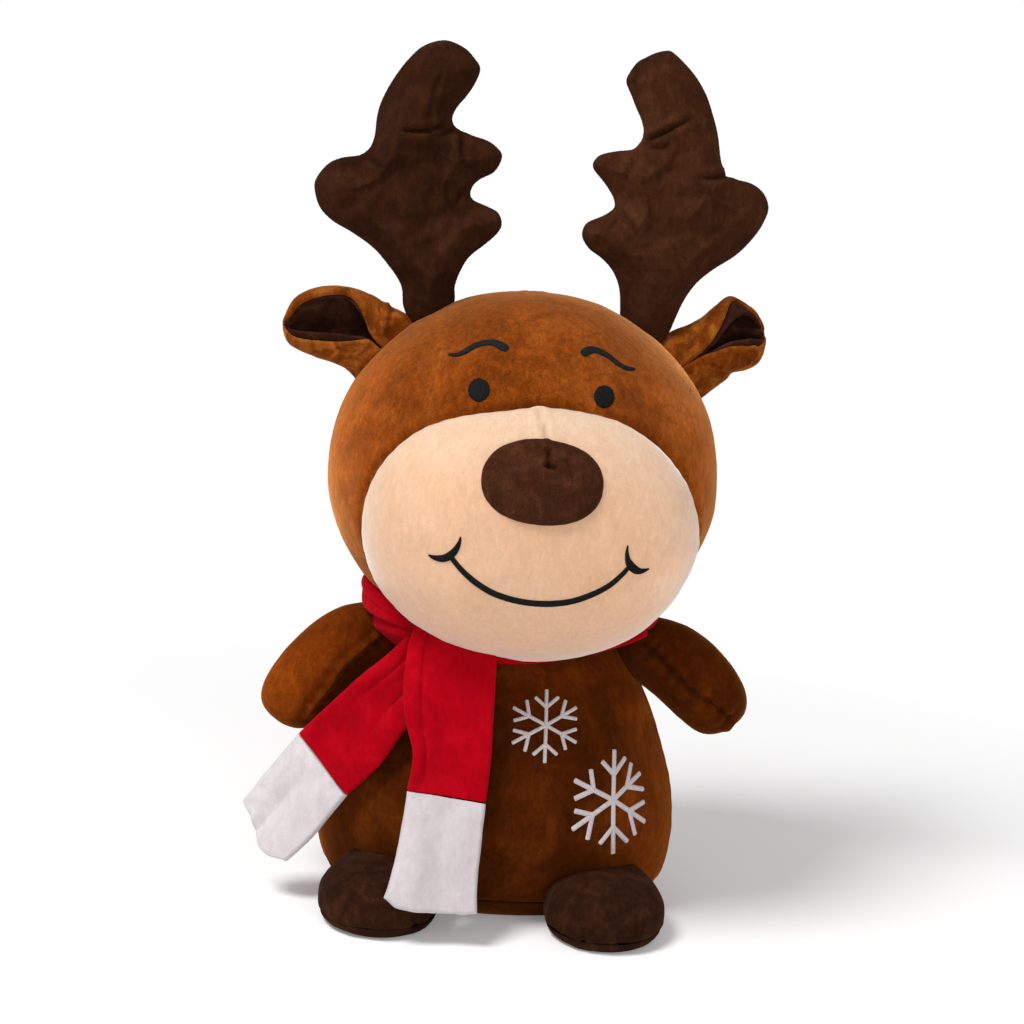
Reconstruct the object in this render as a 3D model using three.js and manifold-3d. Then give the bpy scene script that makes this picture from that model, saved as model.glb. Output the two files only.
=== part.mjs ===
// Plush deer that stands on a flat base, with a scarf. Millimetres, +Z up, the belly faces -Y.
// The origin is the middle of the base panel's flat underside.
import * as THREE from 'three';
import { mergeVertices } from 'three/addons/utils/BufferGeometryUtils.js';
import Module from 'manifold-3d';

const wasm = await Module();
wasm.setup();

// Driving dimensions
const TORSO_HEIGHT = 157.7;
const TORSO_HALF_WIDTH = 98;
const TORSO_FRONT = 80;
const TORSO_BACK = 71;
const HEAD_HALF_WIDTH = 106.5;
const HEAD_ABOVE = 97;
const HEAD_BELOW = 82;
const HEAD_BACKSET = -4;
const HEAD_TURN = 5;
const MUZZLE_HALF_WIDTH = 89;
const MUZZLE_HALF_HEIGHT = 68;
const MUZZLE_DEPTH = 68;
const ANTLER_HEIGHT = 147;
const ANTLER_REACH = 62;
const EAR_LENGTH = 56;
const EAR_HALF_WIDTH = 29;
const ARM_REACH = 58;
const ARM_DROP = 44;
const ARM_RADIUS = 20.5;
const FOOT_HALF_WIDTH = 33;
const FOOT_LENGTH = 74;
const FOOT_HEIGHT = 42;
const SCARF_WIDTH = 45;
const SCARF_THICKNESS = 4;

// Fabric, seams and clearances
const FABRIC = 2.5;
const GAP = 0.3;
const STITCH_RISE = 1.6;
const NOSE_RISE = 3;
const OVERRUN = 10;

// Swings that the soft parts must clear, in degrees
const HEAD_TWIST = 12;
const ARM_LIFT = 25;
const ANTLER_BEND = 15;
const EAR_FOLD = 20;
const SWING_STEPS = 2;

const COLOURS = {
  headBrown: 0x9c5a26,
  bodyBrown: 0x633610,
  darkBrown: 0x3a241a,
  lining: 0x35241b,
  cream: 0xefcfae,
  nose: 0x4a2a1c,
  red: 0xc0142c,
  white: 0xe4dfe1,
  black: 0x1e2022,
  thread: 0xc9bdbd,
  fibre: 0xf2f0ea,
  pellets: 0xd8d2c4,
};

// Round geometries are made about this axis, before they are turned.
const UPRIGHT = new THREE.Vector3(0, 1, 0);

const group = new THREE.Group();

function plush(colour) {
  return new THREE.MeshStandardMaterial({ color: colour, roughness: 0.95, metalness: 0 });
}

function stitching(colour) {
  return new THREE.MeshStandardMaterial({ color: colour, roughness: 0.55, metalness: 0 });
}

// Solids

function toSolid(geometry) {
  const bare = geometry.clone();
  bare.deleteAttribute('normal');
  bare.deleteAttribute('uv');
  const merged = mergeVertices(bare, 1e-4);
  return new wasm.Manifold(new wasm.Mesh({
    numProp: 3,
    vertProperties: new Float32Array(merged.attributes.position.array),
    triVerts: new Uint32Array(merged.index.array),
  }));
}

function toGeometry(solid) {
  const mesh = solid.getMesh();
  const geometry = new THREE.BufferGeometry();
  geometry.setAttribute('position', new THREE.BufferAttribute(mesh.vertProperties, 3));
  geometry.setIndex(new THREE.BufferAttribute(mesh.triVerts, 1));
  geometry.computeVertexNormals();
  return geometry;
}

// A boolean can leave specks; a sewn piece is its one large body.
function largest(solid) {
  const bodies = solid.decompose();
  return bodies.reduce((best, body) => (body.volume() > best.volume() ? body : best));
}

function addPiece(name, solid, material) {
  const mesh = new THREE.Mesh(toGeometry(largest(solid)), material);
  mesh.name = name;
  group.add(mesh);
}

// Joins rings of equal count, and closes both ends with a fan.
function ringsToGeometry(rings, firstTip, lastTip) {
  const count = rings[0].length;
  const positions = [firstTip, ...rings.flat(), lastTip].flatMap((point) => point.toArray());
  const last = rings.length * count + 1;
  const index = [];
  for (let side = 0; side < count; side += 1) {
    const next = (side + 1) % count;
    index.push(0, 1 + next, 1 + side);
    for (let ring = 0; ring < rings.length - 1; ring += 1) {
      const low = 1 + ring * count;
      const high = low + count;
      index.push(low + side, low + next, high + side);
      index.push(low + next, high + next, high + side);
    }
    const top = 1 + (rings.length - 1) * count;
    index.push(top + side, top + next, last);
  }
  const geometry = new THREE.BufferGeometry();
  geometry.setAttribute('position', new THREE.Float32BufferAttribute(positions, 3));
  geometry.setIndex(index);
  return geometry;
}

// A closed strip of cloth over a grid: place(u, v) is its middle surface.
function clothSolid(place, thickness, along, across) {
  const step = 1e-3;
  const layers = [[], []];
  for (let i = 0; i <= along; i += 1) {
    for (let j = 0; j <= across; j += 1) {
      const u = i / along;
      const v = j / across;
      const uHigh = Math.min(1, u + step);
      const vHigh = Math.min(1, v + step);
      const alongU = place(uHigh, v).sub(place(uHigh - step, v));
      const alongV = place(u, vHigh).sub(place(u, vHigh - step));
      const normal = alongU.cross(alongV).normalize().multiplyScalar(thickness / 2);
      layers[0].push(place(u, v).add(normal));
      layers[1].push(place(u, v).sub(normal));
    }
  }
  const width = across + 1;
  const offset = layers[0].length;
  const index = [];
  const quad = (a, b, c, d) => index.push(a, b, c, a, c, d);
  for (let i = 0; i < along; i += 1) {
    for (let j = 0; j < across; j += 1) {
      const a = i * width + j;
      quad(a, a + width, a + width + 1, a + 1);
      quad(offset + a, offset + a + 1, offset + a + width + 1, offset + a + width);
    }
  }
  for (let i = 0; i < along; i += 1) {
    const a = i * width;
    const b = a + across;
    quad(a, offset + a, offset + a + width, a + width);
    quad(b + width, offset + b + width, offset + b, b);
  }
  for (let j = 0; j < across; j += 1) {
    const a = j;
    const b = along * width + j;
    quad(a + 1, offset + a + 1, offset + a, a);
    quad(b, offset + b, offset + b + 1, b + 1);
  }
  const geometry = new THREE.BufferGeometry();
  const positions = layers.flat().flatMap((point) => point.toArray());
  geometry.setAttribute('position', new THREE.Float32BufferAttribute(positions, 3));
  geometry.setIndex(index);
  return toSolid(geometry);
}

// Turns a solid about an axis through a point.
function turned(solid, centre, axis, degrees) {
  const turn = new THREE.Matrix4().makeTranslation(centre);
  turn.multiply(new THREE.Matrix4().makeRotationAxis(axis, THREE.MathUtils.degToRad(degrees)));
  turn.multiply(new THREE.Matrix4().makeTranslation(centre.clone().negate()));
  return solid.transform(turn.elements);
}

// Cuts a limb by what it must stay clear of over its whole swing.
function clearOf(limb, blocker, centre, axis, low, high) {
  let rest = limb;
  for (let step = 0; step <= SWING_STEPS; step += 1) {
    const angle = low + (high - low) * (step / SWING_STEPS);
    rest = rest.subtract(turned(blocker, centre, axis, -angle));
  }
  return rest;
}

function mirrored(solid) {
  return solid.scale([-1, 1, 1]);
}

// Linings and stuffing hide inside, so they have fewer facets than the skin.
function inner(shape) {
  return { ...shape, sides: shape.innerSides, rings: shape.innerRings };
}

// How far the flats of a coarse skin fall inside a fine one.
function sag(halfWidth, sides) {
  return halfWidth * (1 - Math.cos(Math.PI / sides));
}

// Stacked body: rows of [height, width, front, back] shares, joined by splines.

function profileRows(shape) {
  const columns = [1, 2, 3].map((column) => new THREE.SplineCurve(
    shape.shares.map((row) => new THREE.Vector2(row[0], row[column])),
  ));
  const rows = [];
  for (let ring = 0; ring <= shape.rings; ring += 1) {
    const [wide, front, back] = columns.map((curve) => curve.getPoint(ring / shape.rings));
    rows.push({
      z: shape.bottom + wide.x * shape.height,
      wide: wide.y * shape.halfWidth,
      front: front.y * shape.front,
      back: back.y * shape.back,
    });
  }
  return rows;
}

// grow moves the skin outwards; overrun lengthens the flat ends to cut an opening.
function stackedBody(shape, grow = 0, overrun = 0) {
  const rows = profileRows(shape);
  const rings = [];
  rows.forEach((row, i) => {
    const before = rows[Math.max(0, i - 1)];
    const after = rows[Math.min(rows.length - 1, i + 1)];
    const slope = new THREE.Vector2(after.wide - before.wide, after.z - before.z).normalize();
    const flatEnd = (i === 0) || (i === rows.length - 1 && !shape.roundTop);
    if (i === rows.length - 1 && shape.roundTop) return;
    const rise = flatEnd ? 0 : -slope.x * grow;
    const spread = flatEnd ? grow : slope.y * grow;
    const ring = [];
    for (let side = 0; side < shape.sides; side += 1) {
      const angle = (side / shape.sides) * 2 * Math.PI;
      const depth = Math.sin(angle) < 0 ? row.front : row.back;
      ring.push(new THREE.Vector3(
        (row.wide + spread) * Math.cos(angle),
        shape.middle + (depth + spread) * Math.sin(angle),
        row.z + rise,
      ));
    }
    rings.push(ring);
  });
  rings[0].forEach((point) => { point.z -= overrun; });
  const tipOf = (z) => new THREE.Vector3(0, shape.middle, z);
  const lowTip = tipOf(rows[0].z - overrun);
  const topZ = rows[rows.length - 1].z;
  if (!shape.roundTop) rings[rings.length - 1].forEach((point) => { point.z += overrun; });
  const highTip = tipOf(shape.roundTop ? topZ + grow : topZ + overrun);
  return toSolid(ringsToGeometry(rings, lowTip, highTip));
}

const splineOf = (shares) => new THREE.SplineCurve(shares.map((y, x) => new THREE.Vector2(x, y)));

// Limb: round sections along a curve that lies in one plane square to +Y.

function limbBody(limb, grow = 0) {
  const points = limb.spine.map(([x, y, z]) => new THREE.Vector3(x, y, z));
  const curve = new THREE.CatmullRomCurve3(points);
  const radii = splineOf(limb.radiusShares);
  const length = curve.getLength();
  const rings = [];
  for (let step = 1; step < limb.steps; step += 1) {
    // Steps gather at both ends, where the limb rounds off.
    const t = (1 - Math.cos((step / limb.steps) * Math.PI)) / 2;
    const centre = curve.getPoint(t);
    const tangent = curve.getTangent(t);
    const deep = new THREE.Vector3(0, 1, 0).addScaledVector(tangent, -tangent.y).normalize();
    const wide = deep.clone().cross(tangent);
    const full = radii.getPoint(t).y * limb.radius;
    const fromEnd = Math.min(1, (Math.min(t, 1 - t) * length) / full);
    const radius = full * Math.sqrt(1 - (1 - fromEnd) ** 2);
    const ring = [];
    for (let side = 0; side < limb.sides; side += 1) {
      const angle = (side / limb.sides) * 2 * Math.PI;
      ring.push(centre.clone()
        .addScaledVector(wide, (radius + grow) * Math.cos(angle))
        .addScaledVector(deep, (radius * limb.depthShare + grow) * Math.sin(angle)));
    }
    rings.push(ring);
  }
  const first = curve.getPoint(0).addScaledVector(curve.getTangent(0), -grow);
  const last = curve.getPoint(1).addScaledVector(curve.getTangent(1), grow);
  return toSolid(ringsToGeometry(rings, first, last));
}

// A ball whose facets run round the axis that it turns on.
function ball(radius, centre, axis, sides = 14) {
  const sphere = new THREE.SphereGeometry(radius, sides, sides / 2);
  sphere.applyQuaternion(new THREE.Quaternion().setFromUnitVectors(UPRIGHT, axis));
  sphere.translate(centre.x, centre.y, centre.z);
  return toSolid(sphere);
}

// A hollow that a faceted root of this radius can turn in.
function clearing(radius, sides) {
  return (radius + GAP) / Math.cos(Math.PI / sides);
}

function ballSocket(radius, centre, axis, sides = 14) {
  return ball(clearing(radius, sides), centre, axis, sides);
}

// A flat outline in x and z, pushed through along Y.
function prism(outline, near, far) {
  const shape = new THREE.Shape(outline.map(([x, z]) => new THREE.Vector2(x, z)));
  const solid = new THREE.ExtrudeGeometry(shape, { depth: far - near, bevelEnabled: false });
  solid.rotateX(Math.PI / 2);
  solid.translate(0, far, 0);
  return toSolid(solid);
}

function ellipseOutline(x, z, halfWidth, halfHeight, sides) {
  const outline = [];
  for (let side = 0; side < sides; side += 1) {
    const angle = (side / sides) * 2 * Math.PI;
    outline.push([x + halfWidth * Math.cos(angle), z + halfHeight * Math.sin(angle)]);
  }
  return outline;
}

// A row of thread: a strip of given widths along a curve in x and z.
function strokeOutline(points, widthAt, steps) {
  const curve = new THREE.SplineCurve(points.map(([x, z]) => new THREE.Vector2(x, z)));
  const left = [];
  const right = [];
  for (let step = 0; step <= steps; step += 1) {
    const t = step / steps;
    const centre = curve.getPoint(t);
    const tangent = curve.getTangent(t);
    const half = widthAt(t) / 2;
    left.push([centre.x - tangent.y * half, centre.y + tangent.x * half]);
    right.unshift([centre.x + tangent.y * half, centre.y - tangent.x * half]);
  }
  return [...left, ...right].reverse();
}

// Torso

const torso = {
  bottom: 0,
  height: TORSO_HEIGHT,
  halfWidth: TORSO_HALF_WIDTH,
  front: TORSO_FRONT,
  back: TORSO_BACK,
  middle: 0,
  roundTop: false,
  sides: 26,
  rings: 9,
  innerSides: 18,
  innerRings: 6,
  // Height, width, front and back as shares of the whole torso's.
  shares: [
    [0, 0.80, 0.64, 0.70],
    [0.035, 0.90, 0.735, 0.79],
    [0.13, 0.975, 0.86, 0.90],
    [0.29, 1, 1, 1],
    [0.44, 0.965, 0.99, 0.985],
    [0.58, 0.885, 0.92, 0.93],
    [0.72, 0.79, 0.80, 0.84],
    [0.85, 0.68, 0.65, 0.74],
    [0.94, 0.57, 0.54, 0.65],
    [1, 0.49, 0.49, 0.59],
  ],
};
const BASE_SEAM = 11.5;
const PELLET_LEVEL = 32;

function slab(low, high) {
  const size = 4 * TORSO_HALF_WIDTH;
  const box = new THREE.BoxGeometry(size, size, high - low);
  box.translate(0, 0, (low + high) / 2);
  return toSolid(box);
}

const torsoSkin = stackedBody(torso);
const torsoRoom = stackedBody(inner(torso), -FABRIC, OVERRUN);
const torsoFill = stackedBody(inner(torso), -FABRIC - GAP);
const torsoGrown = stackedBody(torso, GAP);
const torsoLoose = stackedBody(inner(torso), GAP + sag(TORSO_HALF_WIDTH, torso.innerSides));

// Head, in its own frame: the neck axis is x = 0, y = HEAD_BACKSET, before the head is turned.

const HEAD_MIDDLE = TORSO_HEIGHT + GAP + HEAD_BELOW;
const HEAD_DEPTH_SHARE = 0.85;
const head = {
  bottom: HEAD_MIDDLE - HEAD_BELOW,
  height: HEAD_BELOW + HEAD_ABOVE,
  halfWidth: HEAD_HALF_WIDTH,
  front: HEAD_HALF_WIDTH * HEAD_DEPTH_SHARE,
  back: HEAD_HALF_WIDTH * HEAD_DEPTH_SHARE,
  middle: HEAD_BACKSET,
  roundTop: true,
  sides: 28,
  rings: 11,
  innerSides: 20,
  innerRings: 8,
  shares: [
    [0, 0.58, 0.56, 0.58],
    [0.045, 0.70, 0.68, 0.70],
    [0.12, 0.825, 0.82, 0.825],
    [0.22, 0.93, 0.93, 0.93],
    [0.34, 0.99, 1, 0.99],
    [0.46, 1, 1, 1],
    [0.58, 0.97, 0.965, 0.97],
    [0.69, 0.90, 0.90, 0.90],
    [0.79, 0.785, 0.785, 0.785],
    [0.88, 0.615, 0.615, 0.615],
    [0.95, 0.41, 0.41, 0.41],
    [0.987, 0.21, 0.21, 0.21],
    [1, 0, 0, 0],
  ],
};

// How far the head's front skin lies before the neck axis, at a place of the face.
function headDepth(x, z) {
  const rows = profileRows({ ...head, rings: 40 });
  const above = rows.findIndex((row) => row.z >= z);
  if (above <= 0) return 0;
  const share = (z - rows[above - 1].z) / (rows[above].z - rows[above - 1].z);
  const wide = THREE.MathUtils.lerp(rows[above - 1].wide, rows[above].wide, share);
  const front = THREE.MathUtils.lerp(rows[above - 1].front, rows[above].front, share);
  return Math.abs(x) < wide ? front * Math.sqrt(1 - (x / wide) ** 2) : 0;
}

// Muzzle: a dome over a rim that lies on the face and tucks in under the chin.
const MUZZLE_DROP = 28;
const MUZZLE_MIDDLE = HEAD_MIDDLE - MUZZLE_DROP;
const CHIN_TUCK = 46;
// The rim is an ellipse at 1, and squarer below.
const MUZZLE_RIM_RATIO = 0.889;
const muzzle = { sides: 28, rings: 6, innerSides: 20, innerRings: 5 };

function muzzleDome(grow = 0, backset = 0, grid = muzzle) {
  const rim = [];
  for (let side = 0; side < grid.sides; side += 1) {
    const angle = -(side / grid.sides) * 2 * Math.PI;
    const across = Math.abs(Math.sin(angle)) ** MUZZLE_RIM_RATIO * Math.sign(Math.sin(angle));
    const up = Math.abs(Math.cos(angle)) ** MUZZLE_RIM_RATIO * Math.sign(Math.cos(angle));
    const x = MUZZLE_HALF_WIDTH * across;
    const rise = MUZZLE_HALF_HEIGHT * up;
    const spread = 1 + grow / Math.hypot(x, rise);
    const depth = Math.max(headDepth(x, MUZZLE_MIDDLE + rise), CHIN_TUCK);
    rim.push({ x: x * spread, rise: rise * spread, depth });
  }
  const apex = CHIN_TUCK + MUZZLE_DEPTH;
  const rings = [];
  for (let ring = 0; ring < grid.rings; ring += 1) {
    const lean = (1 - ring / grid.rings) * (Math.PI / 2);
    rings.push(rim.map((point) => new THREE.Vector3(
      point.x * Math.sin(lean),
      HEAD_BACKSET - point.depth - (apex + grow - point.depth) * Math.cos(lean),
      MUZZLE_MIDDLE + point.rise * Math.sin(lean),
    )));
  }
  if (backset > 0) rings.unshift(rings[0].map((p) => p.clone().setY(p.y + backset)));
  const back = new THREE.Vector3(0, HEAD_BACKSET - CHIN_TUCK + backset, MUZZLE_MIDDLE);
  const tip = new THREE.Vector3(0, HEAD_BACKSET - apex - grow, MUZZLE_MIDDLE);
  return toSolid(ringsToGeometry(rings, back, tip));
}

const headSkin = stackedBody(head);
const headRoom = stackedBody(inner(head), -FABRIC, OVERRUN);
const headFill = stackedBody(inner(head), -FABRIC - GAP);
const headGrown = stackedBody(head, GAP);
const muzzleSkin = muzzleDome();
const muzzleRoom = muzzleDome(-FABRIC, OVERRUN, inner(muzzle));
const muzzleFill = muzzleDome(-FABRIC - GAP, 0, inner(muzzle));
const muzzleGrown = muzzleDome(GAP, GAP);

const headSag = sag(HEAD_HALF_WIDTH, head.innerSides);
const headLoose = stackedBody(inner(head), GAP + headSag);
const muzzleLoose = muzzleDome(GAP + headSag, GAP, inner(muzzle));

const NECK = new THREE.Vector3(0, HEAD_BACKSET, 0);
const UP = new THREE.Vector3(0, 0, 1);
const headTurned = (solid) => turned(solid, NECK, UP, HEAD_TURN);

// What the head sweeps when it twists, with clearance.
const headSweep = (() => {
  const whole = headLoose.add(muzzleLoose);
  let sweep = null;
  for (let step = -1; step <= 1; step += 1) {
    const pose = turned(whole, NECK, UP, HEAD_TURN + HEAD_TWIST * step);
    sweep = sweep ? sweep.add(pose) : pose;
  }
  return sweep;
})();

// Antlers: a beam and three lobes, on a ball root.

const CROWN_SETBACK = 4;

// A place of the crown, by its shares of the head's half width and of its height above the middle.
function crownPlace(outShare, upShare) {
  return new THREE.Vector3(
    HEAD_HALF_WIDTH * outShare, HEAD_BACKSET + CROWN_SETBACK, HEAD_MIDDLE + HEAD_ABOVE * upShare,
  );
}

const ANTLER_ROOT = crownPlace(0.545, 0.835);
const ANTLER_ROOT_RADIUS = 14;
const ANTLER_DEPTH_SHARE = 0.64;
const ANTLER_RADIUS = 28;
const antlerGrid = { sides: 10, steps: 6 };
const antlerInner = { sides: 8, steps: 5 };

// Places as shares of the antler's reach and height from its root, girth as a share of its radius.
const antlerLobes = [
  {
    girthShare: 1,
    placeShares: [[0, 0], [0.1, 0.17], [0.2, 0.38], [0.22, 0.56], [0.16, 0.78], [0.06, 1]],
    radiusShares: [0.52, 0.9, 1, 0.92, 0.82, 0.84],
  },
  {
    girthShare: 0.786,
    placeShares: [[0.15, 0.2], [0.5, 0.35], [0.82, 0.43], [1.04, 0.46]],
    radiusShares: [0.7, 1, 0.9, 0.68],
  },
  {
    girthShare: 0.643,
    placeShares: [[0.2, 0.28], [-0.15, 0.32], [-0.57, 0.34]],
    radiusShares: [0.9, 1, 0.72],
  },
  {
    girthShare: 0.571,
    placeShares: [[0.2, 0.56], [-0.15, 0.575], [-0.53, 0.58]],
    radiusShares: [0.9, 1, 0.72],
  },
];

function antlerBody(grow = 0, grid = antlerGrid) {
  return antlerLobes.map((lobe) => limbBody({
    spine: lobe.placeShares.map(([x, z]) => [
      ANTLER_ROOT.x + x * ANTLER_REACH, ANTLER_ROOT.y, ANTLER_ROOT.z + z * ANTLER_HEIGHT,
    ]),
    radius: ANTLER_RADIUS * lobe.girthShare,
    radiusShares: lobe.radiusShares,
    depthShare: ANTLER_DEPTH_SHARE,
    ...grid,
  }, grow)).reduce((whole, lobe) => whole.add(lobe));
}

const SIDEWAYS = new THREE.Vector3(1, 0, 0);

function antlerPieces() {
  const root = ball(ANTLER_ROOT_RADIUS, ANTLER_ROOT, SIDEWAYS);
  const clear = (solid) => clearOf(
    solid, headLoose, ANTLER_ROOT, SIDEWAYS, -ANTLER_BEND, ANTLER_BEND,
  );
  const skin = clear(antlerBody()).add(root);
  const mouth = new THREE.CylinderGeometry(
    ANTLER_ROOT_RADIUS / 2, ANTLER_ROOT_RADIUS / 2, 2 * ANTLER_ROOT_RADIUS, 10,
  );
  mouth.rotateX(Math.PI / 2);
  mouth.translate(ANTLER_ROOT.x, ANTLER_ROOT.y, ANTLER_ROOT.z - ANTLER_ROOT_RADIUS);
  const innerRoot = ball(ANTLER_ROOT_RADIUS - FABRIC, ANTLER_ROOT, SIDEWAYS, 10);
  const fillRoot = ball(ANTLER_ROOT_RADIUS - FABRIC - GAP, ANTLER_ROOT, SIDEWAYS, 10);
  const room = clear(antlerBody(-FABRIC, antlerInner)).add(innerRoot);
  const fill = clear(antlerBody(-FABRIC - GAP, antlerInner)).intersect(room).add(fillRoot);
  return { cover: skin.subtract(room).subtract(toSolid(mouth)), filling: fill };
}

// Ears: a cupped leaf sewn along a slanted line of the head.

const EAR_ROOT = crownPlace(0.789, 0.65);
const EAR_ROOT_RADIUS = 6;
const EAR_ROOT_HALF_LENGTH = 13;
const EAR_ROOT_SIDES = 10;
const EAR_LINE = new THREE.Vector3(0.5, 0, -0.866);
const EAR_RISE = 12;
const EAR_FABRIC = 3;
const LINING_FABRIC = 2;
const LINING_SHARES = { start: 0.16, end: 0.92 };
const earWidthShares = [0.42, 0.86, 1, 0.86, 0.1];
const earCupShares = [1.5, 1.25, 1, 0.8, 0.6];

// lift raises the surface into the cup; inset draws its edges in.
function earPlace(lift, ends, inset) {
  const width = splineOf(earWidthShares);
  const cup = splineOf(earCupShares);
  const rise = THREE.MathUtils.degToRad(EAR_RISE);
  const out = new THREE.Vector3(Math.cos(rise), 0, Math.sin(rise));
  const cross = new THREE.Vector3(-Math.sin(rise), 0, Math.cos(rise));
  return (u, v) => {
    const t = ends.start + (ends.end - ends.start) * u;
    const half = Math.max(width.getPoint(t).y * EAR_HALF_WIDTH - inset, EAR_FABRIC / 2);
    const angle = cup.getPoint(t).y;
    const radius = half / angle;
    const side = (v * 2 - 1) * angle;
    return EAR_ROOT.clone()
      .addScaledVector(out, t * EAR_LENGTH)
      .addScaledVector(cross, (radius - lift) * Math.sin(side))
      .add(new THREE.Vector3(0, -lift - (radius - lift) * (1 - Math.cos(side)), 0));
  };
}

function earRoot(radius) {
  const bar = new THREE.CapsuleGeometry(
    radius, 2 * EAR_ROOT_HALF_LENGTH, EAR_ROOT_SIDES / 2, EAR_ROOT_SIDES,
  );
  bar.applyQuaternion(new THREE.Quaternion().setFromUnitVectors(UPRIGHT, EAR_LINE));
  bar.translate(EAR_ROOT.x, EAR_ROOT.y, EAR_ROOT.z);
  return toSolid(bar);
}

function earPieces() {
  const clear = (solid) => clearOf(solid, headLoose, EAR_ROOT, EAR_LINE, -EAR_FOLD, EAR_FOLD);
  const outer = clothSolid(earPlace(0, { start: 0, end: 1 }, 0), EAR_FABRIC, 6, 6);
  const liningLift = (EAR_FABRIC + LINING_FABRIC) / 2 + GAP;
  const lining = clothSolid(
    earPlace(liningLift, LINING_SHARES, EAR_FABRIC), LINING_FABRIC, 5, 5,
  );
  return {
    outer: clear(outer).add(earRoot(EAR_ROOT_RADIUS)),
    lining: clear(lining).subtract(outer).subtract(earRoot(EAR_ROOT_RADIUS + GAP)),
  };
}

// Arms: stubby limbs that narrow to a ball root in the shoulder.

const SHOULDER_AHEAD = 3;
const SHOULDER = new THREE.Vector3(
  TORSO_HALF_WIDTH * 0.684, -SHOULDER_AHEAD, TORSO_HEIGHT * 0.926,
);
const ARM_LEAN = 6;
const ARM_ROOT_RADIUS = 14;
const armPlaceShares = [[0, 0], [0.42, 0.2], [0.8, 0.62], [1, 1]];
const arm = {
  spine: armPlaceShares.map(([out, down]) => [
    SHOULDER.x + out * ARM_REACH, SHOULDER.y - down * ARM_LEAN, SHOULDER.z - down * ARM_DROP,
  ]),
  radius: ARM_RADIUS,
  radiusShares: [0.72, 1, 1, 0.9],
  depthShare: 0.95,
  sides: 12,
  steps: 7,
};
const armInner = { ...arm, sides: 9, steps: 6 };
const FORWARD = new THREE.Vector3(0, -1, 0);

function armPieces() {
  const root = (grow) => ball(ARM_ROOT_RADIUS + grow, SHOULDER, FORWARD, grow < 0 ? 10 : 14);
  // Lifting turns the right arm's tip upwards about the line from front to back.
  const clear = (solid) => clearOf(
    clearOf(solid, torsoLoose, SHOULDER, FORWARD, 0, ARM_LIFT),
    headSweep, SHOULDER, FORWARD, 0, ARM_LIFT,
  );
  const skin = clear(limbBody(arm)).add(root(0));
  const room = clear(limbBody(armInner, -FABRIC)).add(root(-FABRIC));
  const filling = clear(limbBody(armInner, -FABRIC - GAP)).intersect(room).add(root(-FABRIC - GAP));
  const mouth = new THREE.CylinderGeometry(
    ARM_ROOT_RADIUS / 2, ARM_ROOT_RADIUS / 2, 2 * ARM_ROOT_RADIUS, 10,
  );
  mouth.rotateZ(Math.PI / 2);
  mouth.translate(SHOULDER.x - ARM_ROOT_RADIUS, SHOULDER.y, SHOULDER.z);
  return { cover: skin.subtract(room).subtract(toSolid(mouth)), filling };
}

// Feet: domed uppers on a flat sole, sewn against the belly.

const FOOT_OUT = TORSO_HALF_WIDTH * 0.602;
const FOOT_AHEAD = 25;
const FOOT_FRONT = TORSO_FRONT + FOOT_AHEAD;
const SOLE_SEAM = 9;
const foot = {
  bottom: 0,
  height: FOOT_HEIGHT,
  halfWidth: FOOT_HALF_WIDTH,
  front: FOOT_LENGTH / 2,
  back: FOOT_LENGTH / 2,
  middle: 0,
  roundTop: true,
  sides: 16,
  rings: 6,
  innerSides: 12,
  innerRings: 5,
  shares: [
    [0, 0.84, 0.86, 0.86],
    [0.08, 0.95, 0.96, 0.96],
    [0.3, 1, 1, 1],
    [0.58, 0.92, 0.92, 0.92],
    [0.82, 0.69, 0.69, 0.69],
    [0.95, 0.38, 0.38, 0.38],
    [1, 0, 0, 0],
  ],
};

function footPieces() {
  const place = (solid) => solid.translate([FOOT_OUT, FOOT_LENGTH / 2 - FOOT_FRONT, 0]);
  const skin = place(stackedBody(foot)).subtract(torsoGrown);
  const behind = stackedBody(torso, GAP + FABRIC);
  const room = place(stackedBody(inner(foot), -FABRIC)).subtract(behind)
    .subtract(slab(-OVERRUN, FABRIC));
  const fillBehind = stackedBody(torso, 2 * GAP + FABRIC);
  const filling = place(stackedBody(inner(foot), -FABRIC - GAP)).subtract(fillBehind)
    .subtract(slab(-OVERRUN, FABRIC + GAP));
  const shell = skin.subtract(room);
  return {
    upper: shell.subtract(slab(-OVERRUN, SOLE_SEAM)),
    sole: shell.subtract(slab(SOLE_SEAM - GAP, TORSO_HEIGHT)),
    filling,
  };
}

// Scarf: a rolled collar round the neck, and two tails with white ends.

const WRAP_RADIUS = TORSO_HALF_WIDTH * 0.704;
const WRAP_LEVEL = TORSO_HEIGHT;
const WRAP_FRONT_DIP = 12.7;
const WRAP_HALF_HEIGHT = 22;
const WRAP_HALF_THICKNESS = 9;
const WRAP_FRONT_SLIM_SHARE = 0.6;
const WRAP_DEPTH_SHARE = 0.84;
const WRAP_FLARE = 58;
const wrapGrid = { around: 28, section: 8 };

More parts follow.
